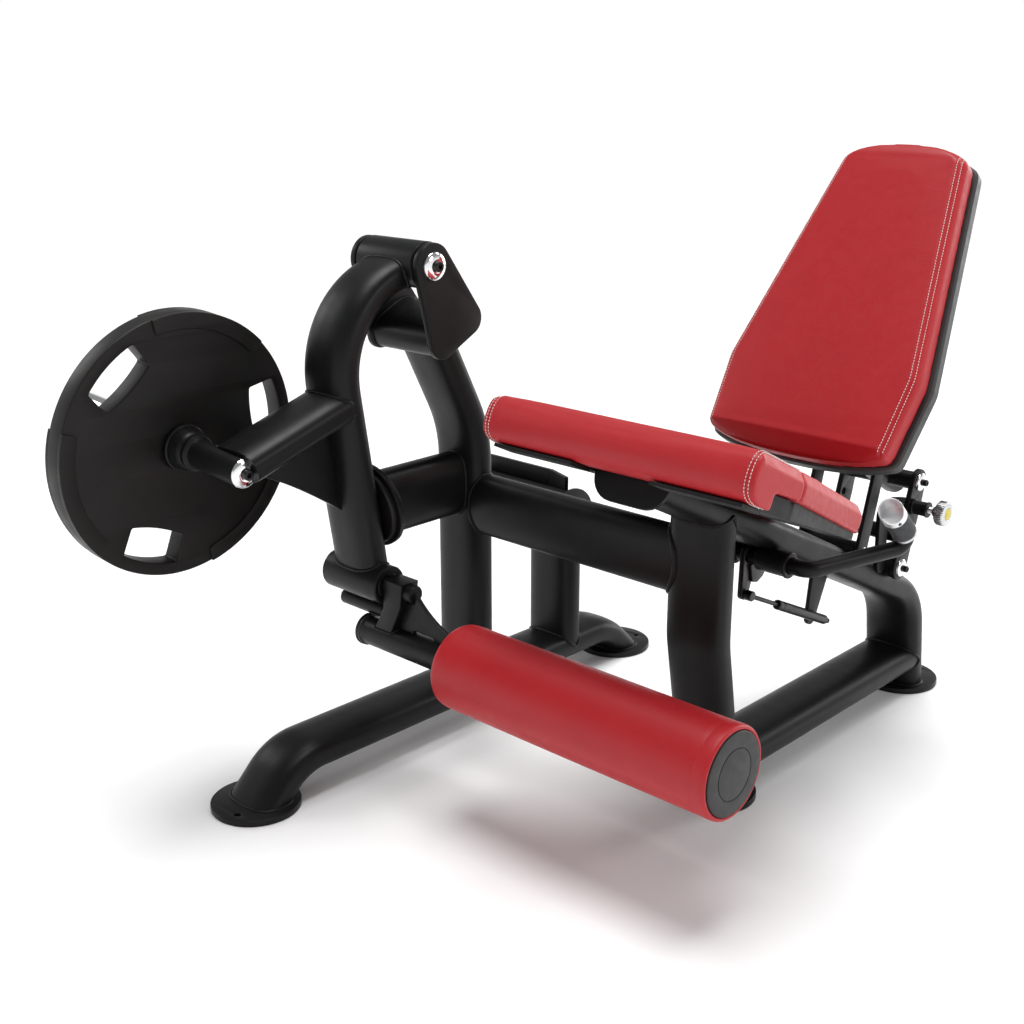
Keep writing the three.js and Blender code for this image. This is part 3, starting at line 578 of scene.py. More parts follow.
def clevis():
    outline = hull((380, 764, 26), (444, 801, 29), (360, 900, 39))
    for name, low in (("outer", -628), ("inner", -470)):
        loops = [outline, ring_of(*HUB, 13)]
        plate(f"clevis_{name}", loops, low, low + 12, "frame", PAINT, f"clevis_plate_{name}", 1.8)
    pin = [(0, -631), (12.4, -631), (12.4, -458.5), (0, -458.5)]
    turned("pivot_pin", pin, (0, *HUB), "frame", STEEL, "pivot_shaft")
    dome_bolt("pivot_inner", (-457.7, *HUB), "frame", "pivot_bolt")
    dome_bolt("pivot_outer", (-628.3, *HUB), "frame", (), (-1, 0, 0))
    for low in (-615.7, -470.3):
        ring = RINGS["clevis_cross"][0 if low < -600 else -1]
        bead(f"clevis_weld_{abs(int(low))}", ring + [1.5 if low < -600 else -1.5, 0, 0], "frame", 2.6)


def stop():
    tube("stop_stub", side(ARM_X, [(276, 478), (516, 478)]), oval(60, 120), "frame", "stop_tube")
    axis = (0, math.cos(rad(ARM_LEAN)), math.sin(rad(ARM_LEAN)))
    centre = (ARM_X, 281, 480)
    turned("stop_flange", [(0, 0), (78, 0), (78, 10), (0, 10)], centre, "frame", PAINT, (), axis, 1.5, 96)
    rubber = [(0, -11), (67, -11), (70, -8), (70, -0.3), (0, -0.3)]
    turned("stop_rubber", rubber, centre, "frame", RUBBER, "stop_bumper", axis, 1.5, 96)
    path = crossing(RINGS["stop_stub"], TREES["stop_flange"], False)
    if len(path) > 12:
        bead("stop_flange_weld", path, "frame", 3)
    weld("stop_stub", "column_tube", "frame", True)


# ---- swing arm -------------------------------------------------------------------------------------------


def arm_line(z):
    """Where the arm's straight part is at a height."""
    return 255 - (z - 372) * math.tan(rad(ARM_LEAN))


def swing_arm():
    body = "swing_arm"
    hub = [(13.6, -613), (35, -613), (40, -611), (40, -475), (35, -473), (13.6, -473)]
    turned("hub", hub, (0, *HUB), body, PAINT, "arm_hub", soft=1, closed=True, around=80)
    cross = [(24, -614), (33, -614), (35, -612), (35, -473), (33, -471), (29, -471), (29, -474), (24, -474)]
    turned("cross", cross, (0, *CROSS), body, PAINT, "arm_cross_tube", soft=0.6, closed=True, around=80)
    for name, at, way in (("inner", -474.5, 1), ("outer", -611, -1)):
        bearing = [(17, 0), (18, 1), (23, 1), (23.8, 0), (23.8, -9), (17, -9)]
        axis = (way, 0, 0)
        turned("cross_bearing_" + name, bearing, (at, *CROSS), body, STEEL, (), axis, 0.5, closed=True)
    line = side(SWING_X, [(arm_line(355), 355), (arm_line(851) + 4, 851, 165), (360, 891)])
    tube("arm", line, oval(111, 58), body, "arm_tube")
    start = (-1.5, 612)
    tube("horn_oval", side(SWING_X, [start, (arm_line(678), 678)]), OVAL, body, "horn_arm")
    web = [(20, 616), (28, 590)] + quad((28, 590), (110, 560), (arm_line(474) - 10, 474), 16)
    web += [(arm_line(490) + 20, 480), (arm_line(678) + 20, 678)]
    plate("horn_web", [web], SWING_X - 6, SWING_X + 6, body, PAINT, "horn_gusset", 1.5)
    weld("arm", "hub", body, True)
    weld("arm", "cross", body, False)
    weld("horn_oval", "arm", body, True)


def quad(a, b, c, steps):
    """Points on a curve from a to c, pulled towards b; a itself is left out."""
    t = np.linspace(0, 1, steps + 1)[1:, None]
    a, b, c = np.array(a), np.array(b), np.array(c)
    return [tuple(p) for p in (1 - t) ** 2 * a + 2 * t * (1 - t) * b + t**2 * c]


HORN_AT = (SWING_X, -9.5, 609)
HORN_WAY = (math.cos(rad(HORN_DROP)), 0, -math.sin(rad(HORN_DROP)))
HORN_PLACE = Matrix.Translation(HORN_AT) @ Matrix.Rotation(rad(HORN_DROP), 4, "Y") @ SIDE_VIEW


def horn():
    body = "swing_arm"
    stub = [(0, -131), (38.5, -131), (40, -130), (40, -126), (37.5, -124.5), (37.5, -121), (33, -106)]
    stub += [(30.5, -101), (29, -100), (30.5, -97), (30.5, -91), (28, -88.5), (24, -87), (24, 32), (0, 32)]
    turned("horn_stub", stub, HORN_AT, body, PAINT, "horn_tube", HORN_WAY, 0.9, 80)
    sleeve = [(0, -425), (22.5, -425), (25, -422.5), (25, -131.3), (0, -131.3)]
    turned("horn_sleeve_tube", sleeve, HORN_AT, body, CHROME, "horn_sleeve", HORN_WAY, 0.8, 80)
    end = np.array(HORN_AT) + 32.2 * np.array(HORN_WAY)
    dome_bolt("horn_end", end, body, "horn_bolt", HORN_WAY)
    weld("horn_oval", "horn_stub", body, False, 2.6)


def polar(r, degrees):
    return r * math.cos(rad(degrees)), r * math.sin(rad(degrees))


def weight():
    loops = [ring_of(0, 0, 225, 160), ring_of(0, 0, 26, 48)]
    for turn in (130, 10, -110):
        inner = [polar(158, turn - 19.3), polar(138, turn), polar(158, turn + 19.3)]
        hole = [inner[0]] + quad(*inner, 20) + [polar(203, turn + d) for d in np.linspace(15.3, -15.3, 24)]
        hole = [tuple(p) for p in even(hole, 140, 11)]
        loops.append(hole)
    plate("plate_disc", loops, -173, -136, "plate", RUBBER, "weight_plate", 2.6, HORN_PLACE)
    for k, turn in enumerate((73.5, 193.5, -46.5)):
        half = 27.8
        pad = [polar(225, turn + d) for d in np.linspace(-29.5, 29.5, 40)]
        pad += [polar(204 - 6 * math.cos(p), turn + half + math.degrees(6 * math.sin(p) / 204))
                for p in np.linspace(math.pi / 2, 0, 6)]
        pad += [polar(198, turn + d) for d in np.linspace(half - 1, 1 - half, 36)]
        pad += [polar(204 - 6 * math.cos(p), turn - half - math.degrees(6 * math.sin(p) / 204))
                for p in np.linspace(0, math.pi / 2, 6)]
        plate(f"plate_pad_front_{k}", [pad], -141, -132, "plate", RUBBER, (), 1.2, HORN_PLACE)
        plate(f"plate_pad_back_{k}", [pad], -177, -168, "plate", RUBBER, (), 1.2, HORN_PLACE)
    ring = [(26.2, -138), (31, -138), (33, -134.5), (31.5, -133), (26.2, -133)]
    turned("plate_hub_ring", ring, HORN_AT, "plate", CHROME, (), HORN_WAY, 0.5, closed=True)


# ---- roller carriage and roller --------------------------------------------------------------------------


FRONT_VIEW = Matrix(((1, 0, 0, 0), (0, 0, -1, 0), (0, 1, 0, 0), (0, 0, 0, 1)))


def carriage():
    body = "roller_carriage"
    shaft = [(0, -594), (14.8, -594), (16, -593), (16, -406), (14.5, -404), (0, -404)]
    turned("shaft", shaft, (0, *CROSS), body, PAINT, "carriage_shaft", around=80)
    bar = [(0, -528), (26, -528), (26, 238), (0, 238)]
    turned("roller_bar", bar, (0, *ROLLER), body, PAINT, "roller_tube", around=96)
    cap = [(0, -8), (26, -8), (29, -5.5), (29, -3), (27, -2), (27, -0.5), (28.4, 0.5), (28.4, 4), (26.3, 5),
           (26.3, 9), (0, 9)]
    turned("roller_bar_cap", cap, (-528, *ROLLER), body, PLASTIC, "roller_tube_cap", soft=0.7, around=96)
    block = [(-418, 374), (-466, 374), (-468, 318), (-501, 262), (-456, 262), (-424, 330)]
    plate("link", [block], -273, -233, body, PAINT, "carriage_link", 2.2, FRONT_VIEW)
    rod = [(0, -602), (12.5, -602), (14.5, -600), (14.5, -480), (0, -480)]
    turned("link_rod", rod, (0, 262, 301), body, PAINT, around=64)
    window = rounded([(-408, 268), (-358, 268), (-358, 289), (-408, 289), (-408, 268)], 2.5)
    web = [(-403.6, 360)] + quad((-403.6, 360), (-374, 322), (-308, 297), 20)
    web += [(-308, 266), (-470, 266), (-425, 334), (-403.6, 340)]
    loops = [web, [tuple(p) for p in window[:-1]]]
    plate("link_web", loops, -257, -249, body, PAINT, "carriage_gusset", 1.2, FRONT_VIEW)
    legs = sweep([(-478.5, 253, 262), (-446, 253, 318)], box_section(39.6, 40))
    bead("link_weld", crossing(legs, TREES["roller_bar"], False), body, 2.4)


def box_section(wide, thick, each=10):
    u, v = wide / 2, thick / 2
    corners = [(-u, -v), (u, -v), (u, v), (-u, v)]
    points = []
    for a, b in zip(corners, corners[1:] + corners[:1]):
        points += [tuple(np.array(a) + (np.array(b) - a) * k / each) for k in range(each)]
    return np.array(points)


def roller():
    at = (0, *ROLLER)
    pad = [(27, -297.5), (62, -299), (68, -298), (71.4, -294.5), (73, -288)]
    pad += [(73 + 0.6 * math.sin(math.pi * (k + 0.5) / 12), -278 + 42 * k) for k in range(12)]
    pad += [(73, 226), (72.6, 236), (70.5, 243), (66, 246), (27, 246)]
    cushion = turned("roller_cushion", pad, at, "roller", VINYL, "roller_pad", soft=0, around=128,
                     closed=True)
    swell(cushion, 5.6, 1.6, lambda p: (p[:, 0] > -290) & (p[:, 0] < 222))
    finish_pad(cushion)
    hem = [(65.4, 240), (71, 232), (72.9, 236), (73.2, 244), (73.1, 251), (72.2, 255), (70, 257.6),
           (67.6, 258), (65.9, 256.6), (65.4, 253)]
    turned("roller_hem", hem, at, "roller", VINYL, (), soft=0.8, around=160, closed=True)
    cap = [(0, 249.3), (65, 249.3), (65, 258), (63.8, 259.4), (41.2, 260.2), (40.4, 258.8), (39.6, 258.8),
           (38.8, 260.3), (0, 260.8)]
    turned("roller_disc", cap, at, "roller", PLASTIC, "roller_end_cap", soft=0.35, around=160)


# ---- padding ---------------------------------------------------------------------------------------------


def coords(mesh):
    out = np.empty(len(mesh.vertices) * 3)
    mesh.vertices.foreach_get("co", out)
    return out.reshape(-1, 3)


def put(mesh, points):
    mesh.vertices.foreach_set("co", np.asarray(points, float).ravel())
    mesh.update()


def local(mesh):
    return (coords(mesh) - ORIGIN) / MM


def bake(obj):
    """The object's mesh with its modifiers applied."""
    made = bpy.data.meshes.new_from_object(obj.evaluated_get(bpy.context.evaluated_depsgraph_get()))
    obj.modifiers.clear()
    obj.data = made
    return made


def swell(obj, voxel, reach, free):
    """Remeshes a pad evenly and blows it up like stuffed cloth; vertices that aren't free stay put."""
    obj.modifiers.clear()
    drawn = tree_of(obj)
    remesh = obj.modifiers.new("even", "REMESH")
    remesh.mode, remesh.voxel_size, remesh.use_smooth_shade = "VOXEL", voxel * MM, True
    bpy.context.view_layer.update()
    mesh = bake(obj)
    even_points = coords(mesh)
    for i, point in enumerate(even_points):
        found = drawn.find_nearest(Vector(point), 0.4 * voxel * MM)
        if found[0] is not None:
            even_points[i] = found[0]
    put(mesh, even_points)
    rest = coords(mesh)
    loose = free((rest - ORIGIN) / MM)
    group = obj.vertex_groups.new(name="held")
    group.add([int(i) for i in np.flatnonzero(~loose)], 1.0, "REPLACE")
    cloth = obj.modifiers.new("cloth", "CLOTH")
    cloth.settings.quality = 4
    cloth.settings.mass = 0.3
    cloth.settings.tension_stiffness = cloth.settings.compression_stiffness = 25
    cloth.settings.bending_stiffness = 1.0
    cloth.settings.use_pressure = True
    cloth.settings.uniform_pressure_force = 4
    cloth.settings.effector_weights.gravity = 0
    cloth.settings.vertex_group_mass = "held"
    for step in range(1, 21):
        SCENE.frame_set(step)
    moved = coords(obj.evaluated_get(bpy.context.evaluated_depsgraph_get()).data)
    obj.modifiers.clear()
    SCENE.frame_set(1)
    shift = moved - rest
    far = np.linalg.norm(shift, axis=1, keepdims=True)
    shift *= np.minimum(1, reach * MM / np.maximum(far, 1e-9))
    put(mesh, rest + shift)


def finish_pad(obj):
    smooth = obj.modifiers.new("smooth", "SMOOTH")
    smooth.factor, smooth.iterations = 0.5, 1
    divide = obj.modifiers.new("divide", "SUBSURF")
    divide.levels = divide.render_levels = 1
    mesh = bake(obj)
    mesh.materials.clear()
    mesh.materials.append(VINYL)
    mesh.polygons.foreach_set("use_smooth", [True] * len(mesh.polygons))


def tree_of(obj):
    mesh = obj.data
    return BVHTree.FromPolygons([v.co[:] for v in mesh.vertices], [p.vertices[:] for p in mesh.polygons])


def dense(path, step=1.0):
    path = np.array(path, float)
    length = np.concatenate([[0], np.cumsum(np.linalg.norm(np.diff(path, axis=0), axis=1))])
    s = np.arange(0, length[-1], step)
    return np.stack([np.interp(s, length, path[:, k]) for k in range(3)], 1)


def groove(obj, paths, depth, width):
    """Pulls a pad's surface in along its seams."""
    lines = np.vstack([dense(p) for p in paths])
    kd = KDTree(len(lines))
    for i, p in enumerate(lines):
        kd.insert(p, i)
    kd.balance()
    mesh = obj.data
    points = local(mesh)
    normals = np.array([n.vector[:] for n in mesh.vertex_normals])
    low, high = lines.min(0) - 4 * width, lines.max(0) + 4 * width
    for i in np.flatnonzero(((points > low) & (points < high)).all(1)):
        distance = kd.find(points[i])[2]
        if distance < 3.2 * width:
            points[i] -= normals[i] * depth * math.exp(-((distance / width) ** 2))
    put(mesh, world(points))


def onto(obj, points, way):
    """Points moved along a direction, from outside, onto a pad's surface, with the normals there."""
    tree = tree_of(obj)
    way = Vector(way).normalized()
    out, normals = [], []
    for p in world(points):
        hit = tree.ray_cast(Vector(p) - way * 0.12, way, 0.3)
        if hit[0] is None:
            hit = tree.find_nearest(Vector(p))
        out.append(hit[0][:])
        normals.append(hit[1][:])
    return (np.array(out) - ORIGIN) / MM, np.array(normals)


def nearest(obj, points):
    tree = tree_of(obj)
    hits = [tree.find_nearest(Vector(p)) for p in world(points)]
    return (np.array([h[0][:] for h in hits]) - ORIGIN) / MM, np.array([h[1][:] for h in hits])


def stitches(name, body, points, normals, pitch=5.2, length=3.5, radius=0.62):
    """Short threads laid along a line on a pad."""
    steps = np.concatenate([[0], np.cumsum(np.linalg.norm(np.diff(points, axis=0), axis=1))])
    at = lambda s, values: np.array([np.interp(s, steps, values[:, k]) for k in range(3)])
    verts, faces = [], []
    ring = round_section(1, 8)
    shape = [(-0.5, 0.25), (-0.42, 0.8), (-0.2, 1.0), (0.2, 1.0), (0.42, 0.8), (0.5, 0.25)]
    for k in range(int(steps[-1] / pitch)):
        middle = (k + 0.5) * pitch
        a, b = at(middle - length / 2, points), at(middle + length / 2, points)
        t = (b - a) / (np.linalg.norm(b - a) + 1e-9)
        n = at(middle, normals)
        n /= np.linalg.norm(n) + 1e-9
        u = np.cross(t, n)
        u /= np.linalg.norm(u) + 1e-9
        n = np.cross(u, t)
        centre = (a + b) / 2
        base = len(verts)
        for f, r in shape:
            lift = 0.45 - 1.2 * (2 * f) ** 4 * 0.5
            c = centre + t * (f * length) + n * lift
            verts += [c + radius * r * (p * u + q * n) for p, q in ring]
        count = len(ring)
        for i in range(len(shape) - 1):
            for j in range(count):
                m = (j + 1) % count
                o = base + i * count
                faces.append((o + j, o + m, o + count + m, o + count + j))
        faces.append([base + j for j in range(count)][::-1])
        faces.append([base + (len(shape) - 1) * count + j for j in range(count)])
    return piece(mesh_of(verts, faces), name, body, THREAD, sharp=70)


# ---- backrest --------------------------------------------------------------------------------------------


def back_outline(top, kink, low, high_s, low_s, arc_top, arc_low, soft=26):
    """Half widths at the top, the kink and the bottom, heights of the corners, and rises of the two arcs."""
    end = 1.2
    across = lambda t: math.sin(t) / math.sin(end)
    rise = lambda t: (math.cos(t) - math.cos(end)) / (1 - math.cos(end))
    upper = [(top * across(t), high_s + arc_top * rise(t)) for t in np.linspace(end, -end, 25)]
    lower = [(low * across(t), low_s - arc_low * rise(t)) for t in np.linspace(-end, end, 31)]
    loop = upper + [(-kink, 0)] + lower + [(kink, 0)]
    return even(loop, 240, soft)


def inset(outline, amount, share=None):
    """An outline moved inwards, by the whole amount or by a share of it at each point."""
    ways = np.roll(outline, -1, 0) - np.roll(outline, 1, 0)
    ways /= np.linalg.norm(ways, axis=1, keepdims=True)
    step = amount * (np.ones(len(outline)) if share is None else share)
    return outline + step[:, None] * np.stack([-ways[:, 1], ways[:, 0]], 1)


def back_point(x, s, behind):
    y, z = on_back(s, behind)
    return x, y, z


def back_rings(levels, outline, ends=1.0):
    """Rings of the backrest: each level is (inset, depth behind the front plane).
    The top and bottom edges are inset by a smaller share than the sides."""
    flank = np.clip((outline[:, 1] + 150) / 22, 0, 1) * np.clip((437 - outline[:, 1]) / 26, 0, 1)
    share = ends + (1 - ends) * flank
    return np.array([[back_point(x, s, depth) for x, s in inset(outline, amount, share)]
                     for amount, depth in levels])


def backrest():
    body = "backrest"
    outline = back_outline(121, 189, 178, 413, -138, 32, 26)
    levels = [(10, 49), (2, 49), (0, 47), (-0.6, 38), (0, 16), (2.5, 11.5), (14.5, 1.2), (18, 0.6),
              (30, 0.4), (80, 0.0)]
    shape = mesh_of(*skin(back_rings(levels, outline, 0.3)))
    cushion = piece(shape, "back_cushion", body, VINYL, "backrest_pad")
    swell(cushion, 4.8, 1.8, back_free)
    shape_back(cushion)
    finish_pad(cushion)
    seam = []
    for way in (1, -1):
        line = [(way * x, s) for x, s in ((109, 421), (177.5, 0), (170, -128), (168, -141))]
        line = np.array([(x, s) for x, s in smooth_line(line, 14)])
        front = [back_point(x, s, 0) for x, s in line]
        seam.append(onto(cushion, dense(front, 2.0), BACK_IN)[0])
    groove(cushion, seam, 1.5, 2.2)
    for k, line in enumerate(seam):
        for j, off in enumerate((-3.4, 3.4)):
            shifted = line + np.array([off, 0, 0])
            spots, normals = onto(cushion, shifted, BACK_IN)
            stitches(f"back_stitch_{k}_{j}", body, spots, normals)
    edge = outline * [1.035, 1.0]
    shell = [(4, 50.3), (1, 50.3), (-1.5, 52), (-3, 54), (-3, 71), (-1, 74), (10, 74)]
    piece(mesh_of(*skin(back_rings(shell, edge))), "back_shell", body, SHELL, "backrest_shell", sharp=30)


def smooth_line(points, soft):
    path = dense([(x, y, 0) for x, y in points], 2.0)
    for _ in range(int((soft / 2) ** 2 / 3)):
        path[1:-1] = (path[:-2] + 2 * path[1:-1] + path[2:]) / 4
    return path[:, :2]


def depth_behind(points):
    """Depth behind the backrest's front plane."""
    return (points[:, 1:] - np.array(on_back(0))) @ BACK_IN[1:]


def height_on_back(points):
    return (points[:, 1:] - np.array(on_back(0))) @ BACK_UP[1:]


def back_free(points):
    """Where the backrest may swell: its front face, a little inside its edges."""
    height = height_on_back(points)
    half = np.interp(height, [-138, 0, 413], [154, 162, 94])
    inside = (np.abs(points[:, 0]) < half) & (height > -118) & (height < 408)
    return inside & (depth_behind(points) < 10)


def shape_back(obj):
    """Turns the lower edge back and crowns the face."""
    points = local(obj.data)
    behind, height = depth_behind(points), height_on_back(points)
    front = np.clip((30 - behind) / 26, 0, 1)
    fall = np.clip(-132 - height, 0, 40)
    push = front * np.minimum(1.05 * fall, np.clip(36 - behind, 0, 40))
    width = np.interp(height, [-170, 0, 439], [172, 182, 113])
    crown = 3.0 * np.clip(1 - (points[:, 0] / width) ** 2, 0, 1) * front
    top = np.clip(height - 413, 0, 40)
    push += front * 0.012 * top**2 - crown + front * 1.5
    put(obj.data, world(points + push[:, None] * BACK_IN))


# ---- seat ------------------------------------------------------------------------------------------------


def seat_point(x, distance, off):
    y, z = on_seat(distance, off)
    return x, y, z


# The bolster's front in a side view, from its top to its under side, as (distance, height off the top plane)
ROLL_FRONT = [(22, 0), (10, -0.8), (1, -5.5), (-5.5, -15), (-8.6, -27), (-9.5, -40), (-8, -54), (-3.5, -64),
              (6, -71.5), (20, -75.5), (54, -76)]


def seat():
    body = "frame"
    rest = [(120, 0), (126, -1.5), (129, -5), (129, -46), (60, -49), (55.5, -51), (54, -55)]
    roll = ROLL_FRONT[::-1] + rest
    roll = [tuple(p) for p in rounded(roll + roll[:1], 0)][:-1]
    section = np.array(even([tuple(p) for p in roll], 150, 5))
    middle = section.mean(0)
    ends = [(255.5, 0.85, 18.5), (255.5, 0.95, 18.5), (254.5, 0.985, 18), (251, 0.998, 12), (245, 1.0, 2),
            (242, 1.0, 0)]
    rings = []
    for x, share, fall in [(-x, s, f) for x, s, f in ends] + ends[::-1]:
        part = middle + (section - middle) * [share, share]
        limit = -fall * np.clip(part[:, 0] / 8, 0, 1) ** 0.5
        part[:, 1] = np.minimum(part[:, 1], np.where(part[:, 0] > 0, limit, 9))
        rings.append([seat_point(x, d, off) for d, off in part])
    bolster = skin(np.array(rings))
    plan = [(0, 119), (247, 119), (253, 128), (252, 138), (204, 408), (199, 424), (179, 439), (0, 441)]
    plan = plan + [(-x, d) for x, d in reversed(plan[1:-1])]
    loop = even(plan, 220, 12)
    rear = []
    levels = [(14, -48), (1, -48), (0, -46), (-0.5, -34), (0, -19), (11.5, -3.4), (20, -2.8), (40, -2.5),
              (70, -2.2)]
    for amount, off in levels:
        rear.append([seat_point(x, d, off) for x, d in inset(loop, amount)])
    rear = skin(np.array(rear))
    count = len(bolster[0])
    points = np.vstack([bolster[0], rear[0]])
    faces = list(bolster[1]) + [tuple(i + count for i in f) for f in rear[1]]
    cushion = piece(mesh_of(points, faces), "seat_cushion", body, VINYL, "seat_pad")
    mend(cushion)
    swell(cushion, 4.4, 1.6, seat_free)
    shape_seat(cushion)
    finish_pad(cushion)
    joint = [seat_point(x, 126, 0) for x in np.linspace(-246, 246, 120)]
    seams = [onto(cushion, joint, -SEAT_UP)[0]]
    for way in (1, -1):
        corner = ((244, 126, -2), (254, 127, -16), (254, 129, -47))
        flank = [seat_point(way * x, d, off) for x, d, off in corner]
        seams.append(nearest(cushion, dense(flank, 2))[0])
    lines = [(125, 0), (60, 0)] + ROLL_FRONT[:-1] + [(50, -76)]
    for way in (1, -1):
        for j, x in enumerate((247.5, 241)):
            spots, normals = nearest(cushion, dense([seat_point(way * x, d, off) for d, off in lines], 2))
            stitches(f"seat_stitch_{'lr'[way < 0]}_{j}", body, spots, normals)
        spots, _ = nearest(cushion, dense([seat_point(way * 244.2, d, off) for d, off in lines], 2))
        seams.append(spots)
    groove(cushion, seams[3:], 1.5, 2.0)
    groove(cushion, seams[:1], 3.0, 3.2)
    groove(cushion, seams[1:3], 6.0, 3.6)
    for way in (1, -1):
        low = [seat_point(way * x, d, -40) for x, d in ((252, 136), (204, 408), (199, 424), (186, 434))]
        groove(cushion, [nearest(cushion, dense(low, 2))[0]], 1.1, 1.5)
    for j, d in enumerate((122.5, 129.5)):
        row = [seat_point(x, d, 0) for x in np.linspace(-240, 240, 200)]
        spots, normals = onto(cushion, row, -SEAT_UP)
        stitches(f"seat_joint_stitch_{j}", body, spots, normals)


def seat_free(points):
    """Where the seat may swell: its under side, ends and flank facets keep their shape."""
    distance, off = seat_off(points)
    half = np.interp(distance, [128, 130, 408, 439], [232, 222, 176, 150])
    return (off > np.where(distance > 56, -45, -74)) & (np.abs(points[:, 0]) < half)


def seat_off(points):
    """Distance along and height off the seat's top plane."""
    d = points[:, 1:] - np.array(SEAT_START)
    up = SEAT_UP[1:]
    return d @ np.array([up[1], -up[0]]), d @ up


def mend(obj):
    bm = bmesh.new()
    bm.from_mesh(obj.data)
    bmesh.ops.recalc_face_normals(bm, faces=bm.faces[:])
    bm.to_mesh(obj.data)
    bm.free()


def shape_seat(obj):
    """Lets the bolster's top fall a little towards its ends and crowns the rear of the seat."""
    points = local(obj.data)
    distance, off = seat_off(points)
    top = np.clip((off + 30) / 22, 0, 1)
    outer = np.clip((np.abs(points[:, 0]) - 200) / 45, 0, 1)
    push = -top * np.interp(distance, [8, 116, 140], [0, 3, 0]) * outer
    along_rear = np.sin(np.pi * np.clip((distance - 126) / 314, 0, 1))
    inner = np.clip(1 - (points[:, 0] / 240) ** 2, 0, 1) * np.clip(along_rear, 0, 1)
    push += top * 1.5 * inner
    put(obj.data, world(points + push[:, None] * SEAT_UP))


# ---- links, handles, damper ------------------------------------------------------------------------------


def links():
    loops = [hull((*LINK_LOW, 24), (1092, 430, 22), (*LINK_HIGH, 24)), ring_of(*PIN, 7)]
    tie = (LINK_LOW[0] + LINK_HIGH[0]) / 2 + 14, (LINK_LOW[1] + LINK_HIGH[1]) / 2 - 30
    plate("link_plate_left", loops, 68, 78, "back_link", PAINT, "rear_link", 1.5)
    plate("link_plate_right", loops, -78, -68, "back_link", PAINT, (), 1.5)
    turned("link_tie", [(0, -72), (15, -72), (15, 72), (0, 72)], (0, *tie), "back_link", PAINT)
    for at, name in ((LINK_LOW, "low"), (LINK_HIGH, "high")):
        dome_bolt(f"link_{name}_left", (78.2, *at), "back_link", washer=17, head=11)
        dome_bolt(f"link_{name}_right", (-78.2, *at), "back_link", (), (-1, 0, 0), washer=17, head=11)
    arm = hull((*FRONT_LOW, 17), (*FRONT_HIGH, 17))
    for name, low in (("left", 56), ("right", -64)):
        plate(f"front_link_{name}", [arm], low, low + 8, "front_arms", PAINT, f"front_arm_{name}", 1.3)
        out = 1 if low > 0 else -1
        for at, end in ((FRONT_LOW, "low"), (FRONT_HIGH, "high")):
            spot = (64.2 * out, *at)
            dome_bolt(f"front_link_{name}_{end}", spot, "front_arms", (), (out, 0, 0), washer=11, head=7)
    housing = [(6.6, 78.3), (15, 78.3), (15, 84), (13.5, 85), (13.5, 108), (15, 109), (15, 112), (6.6, 112)]
    turned("pin_barrel", housing, (0, *PIN), "back_link", PAINT, "pin_housing", soft=0.6, closed=True)
    neck = [(0, 60.6), (3.4, 60.6), (4.6, 63), (5.9, 66)]
    for k in range(9):
        neck += [(5.9, 112.6 + k), (5.2, 113.1 + k)]
    neck += [(5.9, 121.5), (9.5, 122.5), (9.5, 127.5), (6, 128.5), (6, 131), (15, 133), (0, 133)]
    turned("pin_stem", neck, (0, *PIN), "index_pin", CHROME, "pop_pin", soft=0.2, around=40)
    knob()


def knob():
    """A round knob with a finely toothed rim and a coloured disc let into its face."""
    rows = [(0, 130), (15, 130), (21, 131.5), (23.5, 134), (23.5, 147), (21.6, 149.5), (12.2, 150.4),
            (11.4, 149.4), (0, 149.4)]
    rings = lathe(rows, (0, *PIN), around=144)
    centre = np.array([0, *PIN])
    for k in (3, 4):
        reach = 1 - 0.035 * (np.arange(144) % 4 < 2)
        rings[k, :, 1:] = centre[1:] + (rings[k, :, 1:] - centre[1:]) * reach[:, None]
    piece(mesh_of(*skin(rings)), "pin_knob", "index_pin", SATIN, sharp=30)
    mark = [(0, 149), (10.6, 149), (11.2, 149.8), (10.6, 150.6), (0, 151.2)]
    turned("pin_mark", mark, (0, *PIN), "index_pin", YELLOW, soft=0.2)


GRIP_FOOT = np.array([196, 858, 437.0])
GRIP_LEAN = np.array([0, -0.735, 0.678])


def handles():
    half = [(118, *HANDLE, 26), (*GRIP_FOOT, 19), tuple(GRIP_FOOT + GRIP_LEAN * 99)]
    line = [(-c[0], *c[1:]) for c in reversed(half)] + half
    tube("handle_bar", line, round_section(14, 40), "handles", "handle_tube", first=(0, 0, 1), step=5)
    for name, low, high in (("left", 22, 84), ("right", -84, -22)):
        way = 1 if low > 0 else -1
        rows = [(15.2, 0), (19.5, 0), (21, 1.5), (21, 55), (22.4, 56.5), (22.4, 60.5), (21, 62), (15.2, 62)]
        start = (low if low > 0 else high, *HANDLE)
        turned(f"housing_{name}", rows, start, "frame", PAINT, f"handle_housing_{name}", (way, 0, 0), 0.7,
               closed=True)
    for name, way in (("left", 1), ("right", -1)):
        foot = GRIP_FOOT * [way, 1, 1]
        sleeve = [(14.3, 49), (20.6, 49), (21, 50), (21, 97), (20.6, 98), (14.3, 98)]
        grip = f"handle_grip_{name}"
        turned(f"grip_{name}", sleeve, foot, "handles", GRIP, grip, GRIP_LEAN, 0.4, closed=True)
        low = [(14.3, 42), (19, 42), (21.6, 43.5), (21.6, 48.2), (20.8, 49), (14.3, 49)]
        turned(f"grip_ring_{name}", low, foot, "handles", SATIN, (), GRIP_LEAN, 0.6, closed=True)
        collar(f"grip_collar_{name}", foot, way)


